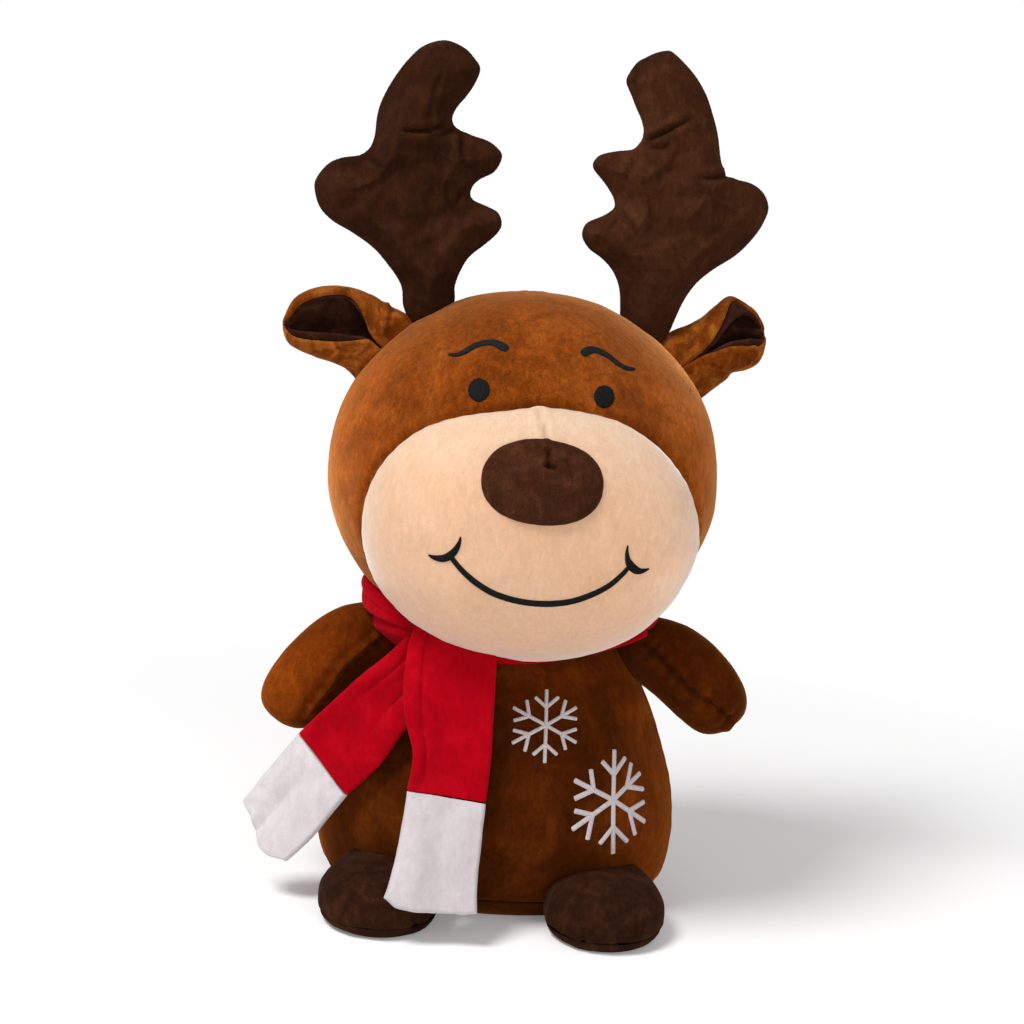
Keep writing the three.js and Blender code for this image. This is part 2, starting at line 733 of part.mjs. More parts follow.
function wrapRing() {
  const positions = [];
  const index = [];
  const { around, section } = wrapGrid;
  for (let i = 0; i < around; i += 1) {
    const turn = (i / around) * 2 * Math.PI;
    const toFront = Math.max(0, -Math.sin(turn)) ** 2;
    const middle = WRAP_LEVEL - WRAP_FRONT_DIP * toFront;
    const tall = WRAP_HALF_HEIGHT * (1 - WRAP_FRONT_SLIM_SHARE * toFront);
    const flare = THREE.MathUtils.degToRad(WRAP_FLARE);
    for (let j = 0; j < section; j += 1) {
      const angle = (j / section) * 2 * Math.PI;
      const along = tall * Math.cos(angle);
      const out = WRAP_HALF_THICKNESS * Math.sin(angle);
      const radius = WRAP_RADIUS + along * Math.cos(flare) + out * Math.sin(flare);
      const z = middle + along * Math.sin(flare) - out * Math.cos(flare);
      positions.push(
        radius * Math.cos(turn), HEAD_BACKSET + WRAP_DEPTH_SHARE * radius * Math.sin(turn), z,
      );
      const nextI = ((i + 1) % around) * section;
      const nextJ = (j + 1) % section;
      const here = i * section;
      index.push(here + j, nextI + nextJ, nextI + j, here + j, here + nextJ, nextI + nextJ);
    }
  }
  const geometry = new THREE.BufferGeometry();
  geometry.setAttribute('position', new THREE.Float32BufferAttribute(positions, 3));
  geometry.setIndex(index);
  return toSolid(geometry);
}

// A tail's middle surface: a path down its length, its width across, and soft lengthwise folds.
const FOLD_HEIGHT = 1.6;
const FOLD_HALF_WAVES = 3;

// A path by its shares of the torso's half width, front and height.
function tailPath(shares) {
  return shares.map(([x, y, z]) => new THREE.Vector3(
    x * TORSO_HALF_WIDTH, y * TORSO_FRONT, z * TORSO_HEIGHT,
  ));
}

function tailPlace(tail, start, end) {
  const path = new THREE.CatmullRomCurve3(tail.path);
  return (u, v) => {
    const t = start + (end - start) * u;
    const centre = path.getPoint(t);
    const tangent = path.getTangent(t);
    const across = tail.across.clone().addScaledVector(tangent, -tail.across.dot(tangent));
    across.normalize();
    const normal = across.clone().cross(tangent);
    const fold = FOLD_HEIGHT * Math.sin(v * Math.PI * FOLD_HALF_WAVES)
      * Math.sin(Math.PI * Math.min(1, 4 * t) / 2);
    return centre
      .addScaledVector(across, (v - 0.5) * tail.width * (1 + tail.spread * t))
      .addScaledVector(normal, fold);
  };
}

const frontTail = {
  width: SCARF_WIDTH,
  spread: 0.1,
  across: new THREE.Vector3(1, 0, 0.02),
  path: tailPath([
    [-0.306, -0.894, 0.92],
    [-0.306, -0.944, 0.774],
    [-0.306, -1, 0.583],
    [-0.316, -1.05, 0.393],
    [-0.337, -1.288, 0.228],
    [-0.357, -1.375, 0.076],
  ]),
  endShare: 0.56,
};

const sideTail = {
  width: SCARF_WIDTH,
  spread: -0.05,
  across: new THREE.Vector3(0.78, -0.25, -0.62),
  path: tailPath([
    [-0.469, -0.875, 0.907],
    [-0.633, -0.825, 0.774],
    [-0.816, -0.7, 0.621],
    [-0.99, -0.563, 0.482],
    [-1.143, -0.5, 0.368],
    [-1.306, -0.475, 0.254],
  ]),
  endShare: 0.56,
};

// The side tail starts beside the front one, and swings on the line where they part.
const TAIL_PARTING = 0.6;
const TAIL_HINGE_X = frontTail.path[0].x - SCARF_WIDTH / 2 - TAIL_PARTING;

function tailPieces(tail, cut) {
  const gapShare = GAP / new THREE.CatmullRomCurve3(tail.path).getLength();
  const strip = (start, end, along) => clothSolid(
    tailPlace(tail, start, end), SCARF_THICKNESS, along, 6,
  );
  return {
    red: cut(strip(0, tail.endShare, 6)),
    white: cut(strip(tail.endShare + gapShare, 1, 4)),
  };
}

// Embroidery is a slice of a skin that stands a little proud of it.

function embroidery(outlines, proud, skin) {
  const prisms = outlines.map((outline) => prism(outline, -2 * TORSO_HALF_WIDTH, 0));
  return prisms.reduce((whole, next) => whole.add(next)).intersect(proud).subtract(skin);
}

const FLAKE_BARB_SHARE = 0.58;
const FLAKE_BARB_LENGTH_SHARE = 0.3;
const smallFlake = { outShare: 0.199, upShare: 0.723, radius: 20, width: 2.2 };
const largeFlake = { outShare: 0.582, upShare: 0.479, radius: 29, width: 3 };

function snowflakeOutlines(flake) {
  const { radius, width } = flake;
  const x = flake.outShare * TORSO_HALF_WIDTH;
  const z = flake.upShare * TORSO_HEIGHT;
  const outlines = [];
  for (let armIndex = 0; armIndex < 6; armIndex += 1) {
    const angle = (armIndex / 6) * 2 * Math.PI + Math.PI / 2;
    const place = (along, turn, length) => [
      x + along * Math.cos(angle) + length * Math.cos(angle + turn),
      z + along * Math.sin(angle) + length * Math.sin(angle + turn),
    ];
    outlines.push(strokeOutline([[x, z], place(radius, 0, 0)], () => width, 1));
    [-Math.PI / 4, Math.PI / 4].forEach((turn) => {
      const start = place(radius * FLAKE_BARB_SHARE, 0, 0);
      const end = place(radius * FLAKE_BARB_SHARE, turn, radius * FLAKE_BARB_LENGTH_SHARE);
      outlines.push(strokeOutline([start, end], () => width, 1));
    });
  }
  return outlines;
}

// Assembly

function addTorso() {
  const sockets = [ballSocket(ARM_ROOT_RADIUS, SHOULDER, FORWARD)];
  sockets.push(mirrored(sockets[0]));
  const cut = (solid) => sockets.reduce((rest, socket) => rest.subtract(socket), solid);
  const cover = torsoSkin.subtract(torsoRoom).subtract(slab(-OVERRUN, BASE_SEAM));
  addPiece('torso_cover', cut(cover), plush(COLOURS.bodyBrown));
  const dish = torsoSkin.subtract(stackedBody(inner(torso), -FABRIC))
    .add(torsoSkin.intersect(slab(0, FABRIC)));
  const above = (level) => slab(level, TORSO_HEIGHT + OVERRUN);
  addPiece('base_panel', dish.subtract(above(BASE_SEAM - GAP)), plush(COLOURS.bodyBrown));
  const inside = torsoFill.subtract(slab(-OVERRUN, FABRIC + GAP));
  addPiece('pellet_bag', inside.subtract(above(PELLET_LEVEL)), plush(COLOURS.pellets));
  const filling = cut(inside.subtract(slab(-OVERRUN, PELLET_LEVEL + GAP)));
  addPiece('torso_filling', filling, plush(COLOURS.fibre));
}

function addHead() {
  const antlerSocket = ballSocket(ANTLER_ROOT_RADIUS, ANTLER_ROOT, SIDEWAYS);
  const earSocket = earRoot(clearing(EAR_ROOT_RADIUS, EAR_ROOT_SIDES));
  const sockets = [antlerSocket, mirrored(antlerSocket), earSocket, mirrored(earSocket)];
  const cut = (solid) => sockets.reduce((rest, socket) => rest.subtract(socket), solid);
  const cover = cut(headSkin.subtract(headRoom).subtract(muzzleGrown));
  addPiece('head_cover', headTurned(cover), plush(COLOURS.headBrown));
  const panel = muzzleSkin.subtract(muzzleRoom).subtract(headRoom);
  addPiece('muzzle_panel', headTurned(panel), plush(COLOURS.cream));
  const filling = cut(headFill.add(muzzleFill.subtract(slab(0, HEAD_MIDDLE - HEAD_BELOW))));
  addPiece('head_filling', headTurned(filling), plush(COLOURS.fibre));
}

const NOSE_HALF_WIDTH = 31;
const NOSE_HALF_HEIGHT = 22;
const NOSE_LEVEL = MUZZLE_MIDDLE + MUZZLE_HALF_HEIGHT * 0.53;
const EYE_OUT = HEAD_HALF_WIDTH * 0.3;
const EYE_LEVEL = HEAD_MIDDLE + HEAD_ABOVE * 0.52;
const EYE_HALF_WIDTH = 5.8;
const EYE_HALF_HEIGHT = 6.2;
const BROW_WIDTH = 3.4;
const BROW_TAIL_SHARE = 0.35;
const MOUTH_WIDTH = 3;

// The brow in shares of the head, the mouth and its ticks in shares of the muzzle.
const browShares = [
  [0.16, 0.727], [0.178, 0.753], [0.225, 0.768], [0.282, 0.753], [0.338, 0.711], [0.385, 0.686],
  [0.423, 0.691],
];
const smileShares = [
  [-0.506, -0.103], [-0.36, -0.294], [-0.18, -0.39], [0, -0.412], [0.18, -0.39], [0.36, -0.294],
  [0.506, -0.103],
];
const tickShares = [[0.472, 0.059], [0.489, -0.059], [0.539, -0.132], [0.629, -0.118]];

const onHead = (shares, side) => shares.map(([x, z]) => [
  side * x * HEAD_HALF_WIDTH, HEAD_MIDDLE + z * HEAD_ABOVE,
]);
const onMuzzle = (shares, side) => shares.map(([x, z]) => [
  side * x * MUZZLE_HALF_WIDTH, MUZZLE_MIDDLE + z * MUZZLE_HALF_HEIGHT,
]);
const browWidth = (t) => {
  const swell = Math.sin(Math.PI * (0.9 - 0.75 * t));
  return BROW_WIDTH * THREE.MathUtils.lerp(BROW_TAIL_SHARE, 1, swell);
};

// A mirrored stroke runs the other way round.
const facing = (outline, side) => (side > 0 ? outline : [...outline].reverse());

function addFace() {
  const proudHead = stackedBody(head, GAP + STITCH_RISE);
  const proudMuzzle = muzzleDome(GAP + STITCH_RISE);
  const noseOutline = ellipseOutline(0, NOSE_LEVEL, NOSE_HALF_WIDTH, NOSE_HALF_HEIGHT, 24);
  const onBrow = (outline) => headTurned(embroidery([outline], proudHead, headGrown));
  const nose = embroidery([noseOutline], muzzleDome(GAP + NOSE_RISE), muzzleGrown);
  addPiece('nose_panel', headTurned(nose), plush(COLOURS.nose));
  [['left', -1], ['right', 1]].forEach(([side, sign]) => {
    const eye = ellipseOutline(sign * EYE_OUT, EYE_LEVEL, EYE_HALF_WIDTH, EYE_HALF_HEIGHT, 12);
    addPiece(`eye_${side}`, onBrow(eye), stitching(COLOURS.black));
    const brow = facing(strokeOutline(onHead(browShares, sign), browWidth, 8), sign);
    addPiece(`brow_${side}`, onBrow(brow), stitching(COLOURS.black));
  });
  const smile = strokeOutline(onMuzzle(smileShares, 1), () => MOUTH_WIDTH, 14);
  const ticks = [-1, 1].map((sign) => (
    facing(strokeOutline(onMuzzle(tickShares, sign), () => MOUTH_WIDTH, 5), sign)
  ));
  const mouth = embroidery([smile, ...ticks], proudMuzzle, muzzleGrown);
  addPiece('mouth_stitching', headTurned(mouth), stitching(COLOURS.black));
}

function addPair(name, solid, material, place = (piece) => piece) {
  addPiece(name.replace('SIDE', 'right'), place(solid), material);
  addPiece(name.replace('SIDE', 'left'), place(mirrored(solid)), material.clone());
}

function addLimbs() {
  const antler = antlerPieces();
  addPair('antler_SIDE_cover', antler.cover, plush(COLOURS.darkBrown), headTurned);
  addPair('antler_SIDE_filling', antler.filling, plush(COLOURS.fibre), headTurned);
  const ear = earPieces();
  addPair('ear_SIDE_outer', ear.outer, plush(COLOURS.headBrown), headTurned);
  addPair('ear_SIDE_lining', ear.lining, plush(COLOURS.lining), headTurned);
  const armSet = armPieces();
  addPair('arm_SIDE_cover', armSet.cover, plush(COLOURS.bodyBrown));
  addPair('arm_SIDE_filling', armSet.filling, plush(COLOURS.fibre));
  const footSet = footPieces();
  addPair('foot_SIDE_upper', footSet.upper, plush(COLOURS.darkBrown));
  addPair('foot_SIDE_sole', footSet.sole, plush(COLOURS.darkBrown));
  addPair('foot_SIDE_filling', footSet.filling, plush(COLOURS.fibre));
}

function addScarf() {
  // A fat arm, half lifted, fills most of what the arm sweeps inside the collar.
  const rim = WRAP_RADIUS + WRAP_HALF_HEIGHT - SHOULDER.x;
  const margin = rim * Math.sin(THREE.MathUtils.degToRad(ARM_LIFT / 2));
  const fatArm = limbBody({ ...arm, sides: 8, steps: 5 }, GAP + margin);
  const armSweep = turned(fatArm, SHOULDER, FORWARD, ARM_LIFT / 2)
    .add(turned(limbBody(arm, GAP), SHOULDER, FORWARD, ARM_LIFT))
    .add(ballSocket(ARM_ROOT_RADIUS, SHOULDER, FORWARD));
  const wrap = wrapRing().subtract(torsoLoose).subtract(headSweep)
    .subtract(armSweep).subtract(mirrored(armSweep));
  addPiece('scarf_wrap', wrap, plush(COLOURS.red));
  const front = tailPieces(frontTail, (solid) => solid.subtract(headSweep));
  addPiece('scarf_front_tail', front.red, plush(COLOURS.red));
  addPiece('scarf_front_end', front.white, plush(COLOURS.white));
  const size = 4 * TORSO_HALF_WIDTH;
  const inward = new THREE.BoxGeometry(size, size, size);
  inward.translate(TAIL_HINGE_X + size / 2, 0, 0);
  const cutSide = (solid) => solid.subtract(toSolid(inward)).subtract(headSweep);
  const side = tailPieces(sideTail, cutSide);
  addPiece('scarf_side_tail', side.red, plush(COLOURS.red));
  addPiece('scarf_side_end', side.white, plush(COLOURS.white));
}

function addSnowflakes() {
  const proud = stackedBody(torso, GAP + STITCH_RISE);
  const onBelly = (flake) => embroidery(snowflakeOutlines(flake), proud, torsoGrown);
  addPiece('snowflake_small', onBelly(smallFlake), stitching(COLOURS.thread));
  addPiece('snowflake_large', onBelly(largeFlake), stitching(COLOURS.thread));
}

addTorso();
addHead();
addFace();
addLimbs();
addScarf();
addSnowflakes();

export default group;
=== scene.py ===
"""Looks of the plush deer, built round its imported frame. Lengths are in millimetres until a mesh is made."""
import itertools
import math

import bpy
import numpy as np
from mathutils import Matrix, Vector
from mathutils.bvhtree import BVHTree
from mathutils.geometry import delaunay_2d_cdt


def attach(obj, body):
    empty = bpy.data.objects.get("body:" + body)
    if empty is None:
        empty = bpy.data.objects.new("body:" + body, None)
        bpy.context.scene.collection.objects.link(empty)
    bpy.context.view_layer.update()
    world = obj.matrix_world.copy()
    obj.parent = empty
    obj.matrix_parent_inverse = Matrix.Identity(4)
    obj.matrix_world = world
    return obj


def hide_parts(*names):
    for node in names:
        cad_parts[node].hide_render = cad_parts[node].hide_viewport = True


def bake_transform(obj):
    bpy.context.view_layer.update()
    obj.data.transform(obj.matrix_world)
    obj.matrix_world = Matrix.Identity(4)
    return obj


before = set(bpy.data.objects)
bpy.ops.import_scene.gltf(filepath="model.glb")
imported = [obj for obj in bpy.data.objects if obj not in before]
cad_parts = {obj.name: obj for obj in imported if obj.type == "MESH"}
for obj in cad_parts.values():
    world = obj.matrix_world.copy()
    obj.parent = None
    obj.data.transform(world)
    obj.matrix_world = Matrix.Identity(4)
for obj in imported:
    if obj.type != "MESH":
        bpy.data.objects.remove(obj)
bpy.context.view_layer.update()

MM = 0.001

# Camera

FRAME_PX = 1024
FOCAL_PX = 2273
SENSOR_MM = 36
CAMERA_PLACE = np.array([-5.0, -1235.0, 432.0])
CAMERA_DIP = math.radians(10)
CAMERA_ROLL = math.radians(3.7)

AHEAD = np.array([0, math.cos(CAMERA_DIP), -math.sin(CAMERA_DIP)])
LEVEL = np.array([1.0, 0, 0])
RISE = np.array([0, math.sin(CAMERA_DIP), math.cos(CAMERA_DIP)])
CAMERA_RIGHT = math.cos(CAMERA_ROLL) * LEVEL + math.sin(CAMERA_ROLL) * RISE
CAMERA_UP = math.cos(CAMERA_ROLL) * RISE - math.sin(CAMERA_ROLL) * LEVEL


def add_camera():
    data = bpy.data.cameras.new("camera")
    data.sensor_width = SENSOR_MM
    data.lens = FOCAL_PX / FRAME_PX * SENSOR_MM
    data.dof.use_dof = False
    camera = bpy.data.objects.new("camera", data)
    bpy.context.scene.collection.objects.link(camera)
    turn = np.eye(4)
    turn[:3, 0], turn[:3, 1], turn[:3, 2] = CAMERA_RIGHT, CAMERA_UP, -AHEAD
    turn[:3, 3] = CAMERA_PLACE * MM
    camera.matrix_world = Matrix(turn.tolist())
    bpy.context.scene.camera = camera


def ray(px, py):
    """Direction from the camera through a pixel of the photograph."""
    across, down = px - FRAME_PX / 2, py - FRAME_PX / 2
    return Vector(AHEAD * FOCAL_PX + CAMERA_RIGHT * across - CAMERA_UP * down).normalized()


# Numbers

# Odd factors that scramble a lattice point and a seed into noise.
HASH_STEPS = np.array([374761393, 668265263, 1103515245])
HASH_SEED = 974711
HASH_MIX = 1274126177
HASH_BITS = 0xFFFFFFFF


def spline(values, t):
    """Uniform Catmull-Rom through the rows of values, at t from 0 to 1."""
    values = np.asarray(values, float)
    t = np.clip(np.asarray(t, float), 0, 1)
    last = len(values) - 1
    place = t * last
    i = np.minimum(place.astype(int), last - 1)
    f = (place - i).reshape(place.shape + (1,) * (values.ndim - 1))
    p0, p1 = values[np.maximum(i - 1, 0)], values[i]
    p2, p3 = values[i + 1], values[np.minimum(i + 2, last)]
    v0, v1 = (p2 - p0) / 2, (p3 - p1) / 2
    return (2 * p1 - 2 * p2 + v0 + v1) * f**3 + (3 * p2 - 3 * p1 - 2 * v0 - v1) * f**2 + v0 * f + p1


def noise(points, size, seed=0):
    """Smooth noise from -1 to 1, with lumps of about the size in millimetres."""
    q = np.asarray(points, float) / size + 1000.0
    cell = np.floor(q).astype(np.int64)
    f = q - cell
    f = f * f * (3 - 2 * f)
    total = np.zeros(len(q))
    for corner in itertools.product((0, 1), repeat=3):
        h = ((cell + corner) @ HASH_STEPS + seed * HASH_SEED) & HASH_BITS
        h = ((h ^ (h >> 13)) * HASH_MIX) & HASH_BITS
        value = ((h ^ (h >> 16)) & 0xFFFF) / 32767.5 - 1
        total += value * np.prod(np.where(corner, f, 1 - f), axis=1)
    return total


def bell(distance, width):
    return np.exp(-((distance / width) ** 2))


def smooth(low, high, value):
    """Eases from 0 to 1 as the value goes from low to high."""
    t = np.clip((value - low) / (high - low), 0, 1)
    return t * t * (3 - 2 * t)


def crowded(count, share):
    """Places from 0 to 1 that crowd towards both ends."""
    x = np.linspace(0, 1, count)
    return (1 - share) * x + share * (1 - np.cos(math.pi * x)) / 2


def circle(sides):
    """Angles once round."""
    return np.linspace(0, math.tau, sides, endpoint=False)


def squared(value, power):
    """A sine or cosine that draws a rounder or squarer oval: 2 is plain."""
    return np.sign(value) * np.abs(value) ** (2 / power)


def unit(vectors):
    return vectors / np.linalg.norm(vectors, axis=-1, keepdims=True)


def run_along(path):
    """The length along a line of points, at each of them."""
    return np.concatenate([[0], np.cumsum(np.linalg.norm(np.diff(path, axis=0), axis=1))])


def nearest_on(path, points):
    """Distance from each point to a line of points, and the length along it there."""
    path = np.asarray(path, float)
    span = np.diff(path, axis=0)
    length = np.linalg.norm(span, axis=1)
    start = run_along(path)
    best = np.full(len(points), np.inf)
    along = np.zeros(len(points))
    for i in range(len(span)):
        t = np.clip((points - path[i]) @ span[i] / max(length[i] ** 2, 1e-9), 0, 1)
        distance = np.linalg.norm(points - path[i] - t[:, None] * span[i], axis=1)
        closer = distance < best
        best[closer] = distance[closer]
        along[closer] = start[i] + t[closer] * length[i]
    return best, along


# Meshes

def grid_faces(rows, columns, closed):
    """Four-sided faces of a grid of points, also from its last column to its first where it is closed."""
    i, j = np.meshgrid(np.arange(rows - 1), np.arange(columns if closed else columns - 1), indexing="ij")
    here, above = i * columns, (i + 1) * columns
    k = (j + 1) % columns
    return np.stack([here + j, here + k, above + k, above + j], -1).reshape(-1, 4)


def add_object(name, points, faces, material):
    mesh = bpy.data.meshes.new(name)
    mesh.from_pydata((np.asarray(points) * MM).tolist(), [], [list(map(int, f)) for f in faces])
    mesh.validate()
    mesh.materials.append(material)
    mesh.polygons.foreach_set("use_smooth", [True] * len(mesh.polygons))
    piece = bpy.data.objects.new(name, mesh)
    bpy.context.scene.collection.objects.link(piece)
    return piece


def vertex_values(mesh, name):
    values = np.empty(len(mesh.vertices) * 3, np.float32)
    mesh.vertices.foreach_get(name, values)
    return values.reshape(-1, 3).astype(float)


def places(piece):
    return vertex_values(piece.data, "co") / MM


def formed(name, mesh, material):
    """A new piece, and the places of its points."""
    piece = add_object(name, *mesh, material)
    return piece, places(piece)


def move_to(piece, points):
    piece.data.vertices.foreach_set("co", (np.asarray(points) * MM).astype(np.float32).ravel())
    piece.data.update()


def push(piece, amount):
    """Moves a surface along its normals, and notes how far, for the shade painted into its grooves and the
    highlight painted onto its ridges.
    """
    move_to(piece, places(piece) + vertex_values(piece.data, "normal") * np.asarray(amount)[:, None])
    pushed = piece.data.attributes.get("pushed") or piece.data.attributes.new("pushed", "FLOAT", "POINT")
    pushed.data.foreach_set("value", np.asarray(amount, np.float32))


def capped(rings):
    """A closed mesh from rings of points: each end is closed by its middle point."""
    rings = np.asarray(rings, float)
    rows, columns = rings.shape[:2]
    points = np.concatenate([rings.reshape(-1, 3), [rings[0].mean(0)], [rings[-1].mean(0)]])
    faces = grid_faces(rows, columns, True).tolist()
    low, high = rows * columns, rows * columns + 1
    top = (rows - 1) * columns
    for j in range(columns):
        k = (j + 1) % columns
        faces.append([low, k, j])
        faces.append([high, top + j, top + k])
    return points, faces


def from_edge(grid, axis):
    """Distance along the grid from the nearer of its two edges."""
    step = np.linalg.norm(np.diff(grid, axis=axis), axis=2)
    run = np.cumsum(step, axis=axis)
    start = np.zeros_like(np.take(run, [0], axis=axis))
    run = np.concatenate([start, run], axis=axis)
    return np.minimum(run, np.take(run, [-1], axis=axis) - run)


# Half the thickness that a sheet keeps at its very edge.
EDGE_THICKNESS = 0.04


def sheet_mesh(middle, thickness, round_start=True, round_end=True):
    """A closed sheet of cloth from a grid of middle points, with round edges."""
    middle = np.asarray(middle, float)
    rows, columns = middle.shape[:2]
    normal = np.cross(np.gradient(middle, axis=0), np.gradient(middle, axis=1))
    normal /= np.maximum(np.linalg.norm(normal, axis=2, keepdims=True), 1e-9)
    side = from_edge(middle, 1)
    end = from_edge(middle, 0)
    if not round_start:
        end[:rows // 2] = thickness
    if not round_end:
        end[rows // 2:] = thickness
    near = np.clip(np.minimum(side, end) / (0.5 * thickness), 0, 1)
    half = (thickness / 2 * np.sqrt(1 - (1 - near) ** 2) + EDGE_THICKNESS)[..., None]
    points = np.concatenate([(middle + sign * normal * half).reshape(-1, 3) for sign in (1, -1)])
    count = rows * columns
    faces = grid_faces(rows, columns, False)
    all_faces = faces.tolist() + (faces[:, ::-1] + count).tolist()
    index = np.arange(count).reshape(rows, columns)
    border = np.concatenate([index[0], index[1:, -1], index[-1, -2::-1], index[-2:0:-1, 0]]).tolist()
    for a, b in zip(border, border[1:] + border[:1]):
        all_faces.append([b, a, a + count, b + count])
    return points, all_faces


def tree_of(points, faces):
    return BVHTree.FromPolygons([tuple(p) for p in points], [tuple(map(int, f)) for f in faces])


def tree_from(piece):
    return tree_of(places(piece), [p.vertices for p in piece.data.polygons])


def cast(tree, px, py):
    """Where a pixel's line meets a surface, and the surface's normal there."""
    place, normal, _, _ = tree.ray_cast(Vector(CAMERA_PLACE), ray(px, py))
    if place is None:
        raise ValueError(f"nothing lies behind pixel {px}, {py}")
    if normal.dot(ray(px, py)) > 0:
        normal = -normal
    return np.array(place), np.array(normal)


def hits(tree, pixels):
    """The places of those pixels that have the surface behind them."""
    found = [tree.ray_cast(Vector(CAMERA_PLACE), ray(px, py))[0] for px, py in pixels]
    return np.array([place for place in found if place is not None])


# Materials

# Noise in the materials: scale per metre, detail, roughness and distortion.
STREAK_NOISE = (330, 5, 0.65, 0.5)
NAP_NOISE = (160, 3, 0.6, 1.6)
FIBRE_NOISE = (1700, 3, 0.75, 0.0)
WAVER_NOISE = (38, 4, 0.6, 0.8)
STRAND_NOISE = (1700, 2, 0.6, 0.2)
CLUMP_NOISE = (130, 6, 0.7, 1.5)
# How far a border between tones wavers, in millimetres.
TONE_WAVER = 36
# Shade is painted into the pile down to this depth in a seam or crease, and a highlight onto it up to this
# height on a ridge, in millimetres.
SHADE_AND_HIGHLIGHT_DEPTH = 2.0
# Depth of the bumps of streaks, fibres, thread and clumps, in metres.
STREAK_BUMP = 0.0007
FIBRE_BUMP = 0.0004
STRAND_BUMP = 0.0003
CLUMP_BUMP = 0.002


def linear(code):
    """The linear colour of a web colour."""
    parts = [int(code[i:i + 2], 16) / 255 for i in (1, 3, 5)]
    return tuple(c / 12.92 if c <= 0.04045 else ((c + 0.055) / 1.055) ** 2.4 for c in parts)


def set_inputs(tree, node, inputs):
    """Sets each input to its value, or links it where the value is another node's output."""
    for key, value in inputs.items():
        if isinstance(value, bpy.types.NodeSocket):
            tree.links.new(value, node.inputs[key])
        else:
            node.inputs[key].default_value = value


def add_node(tree, kind, inputs, **settings):
    node = tree.nodes.new(kind)
    for name, value in settings.items():
        setattr(node, name, value)
    set_inputs(tree, node, inputs)
    return node


def math_node(tree, operation, *values):
    return add_node(tree, "ShaderNodeMath", dict(enumerate(values)), operation=operation).outputs[0]


def share_node(tree, value, low, high):
    """Where a value lies on the way from low to high."""
    inputs = {"Value": value, "From Min": low, "From Max": high}
    return add_node(tree, "ShaderNodeMapRange", inputs).outputs["Result"]


def noise_node(tree, place, scale, detail, rough, distortion):
    inputs = {"Vector": place, "Scale": scale, "Detail": detail, "Roughness": rough, "Distortion": distortion}
    return add_node(tree, "ShaderNodeTexNoise", inputs).outputs["Fac"]


def bump_node(tree, height, strength, distance, under=None):
    inputs = {"Height": height, "Strength": strength, "Distance": distance}
    if under is not None:
        inputs["Normal"] = under
    return add_node(tree, "ShaderNodeBump", inputs).outputs["Normal"]


def ramp_node(tree, value, stops):
    """A colour picked by a value, from stops of a share and a colour."""
    node = add_node(tree, "ShaderNodeValToRGB", {"Fac": value})
    elements = node.color_ramp.elements
    while len(elements) < len(stops):
        elements.new(0.5)
    for element, (share, colour) in zip(elements, stops):
        element.position = share
        element.color = (*colour, 1)
    return node.outputs["Color"]


def toned(tree, colour, value, stops):
    """The colour times a tone picked by a value, from stops of a share and a grey or coloured tone."""
    colours = [(at, tone if isinstance(tone, tuple) else (tone,) * 3) for at, tone in stops]
    inputs = {0: 1.0, 6: colour, 7: ramp_node(tree, value, colours)}
    return add_node(tree, "ShaderNodeMix", inputs, data_type="RGBA", blend_type="MULTIPLY").outputs[2]


def toned_along(tree, colour, place, axis, stops):
    """The colour times a tone along an axis, with a wavering border: painted light, sheen and shade across a
    part. Stops are in millimetres.
    """
    parts = add_node(tree, "ShaderNodeSeparateXYZ", {0: place})
    wavering = noise_node(tree, place, *WAVER_NOISE)
    along = math_node(tree, "MULTIPLY_ADD", wavering, TONE_WAVER * MM, parts.outputs[axis])
    low, high = stops[0][0], stops[-1][0]
    share = share_node(tree, along, (low + TONE_WAVER / 2) * MM, (high + TONE_WAVER / 2) * MM)
    return toned(tree, colour, share, [((at - low) / (high - low), tone) for at, tone in stops])


def node_material(name, code):
    """A material, its nodes, its shader, and the place on the object that its nodes read."""
    material = bpy.data.materials.new(name)
    material.use_nodes = True
    tree = material.node_tree
    shader = tree.nodes["Principled BSDF"]
    set_inputs(tree, shader, {"Base Color": (*linear(code), 1), "Metallic": 0})
    return material, tree, shader, add_node(tree, "ShaderNodeTexCoord", {}).outputs["Object"]


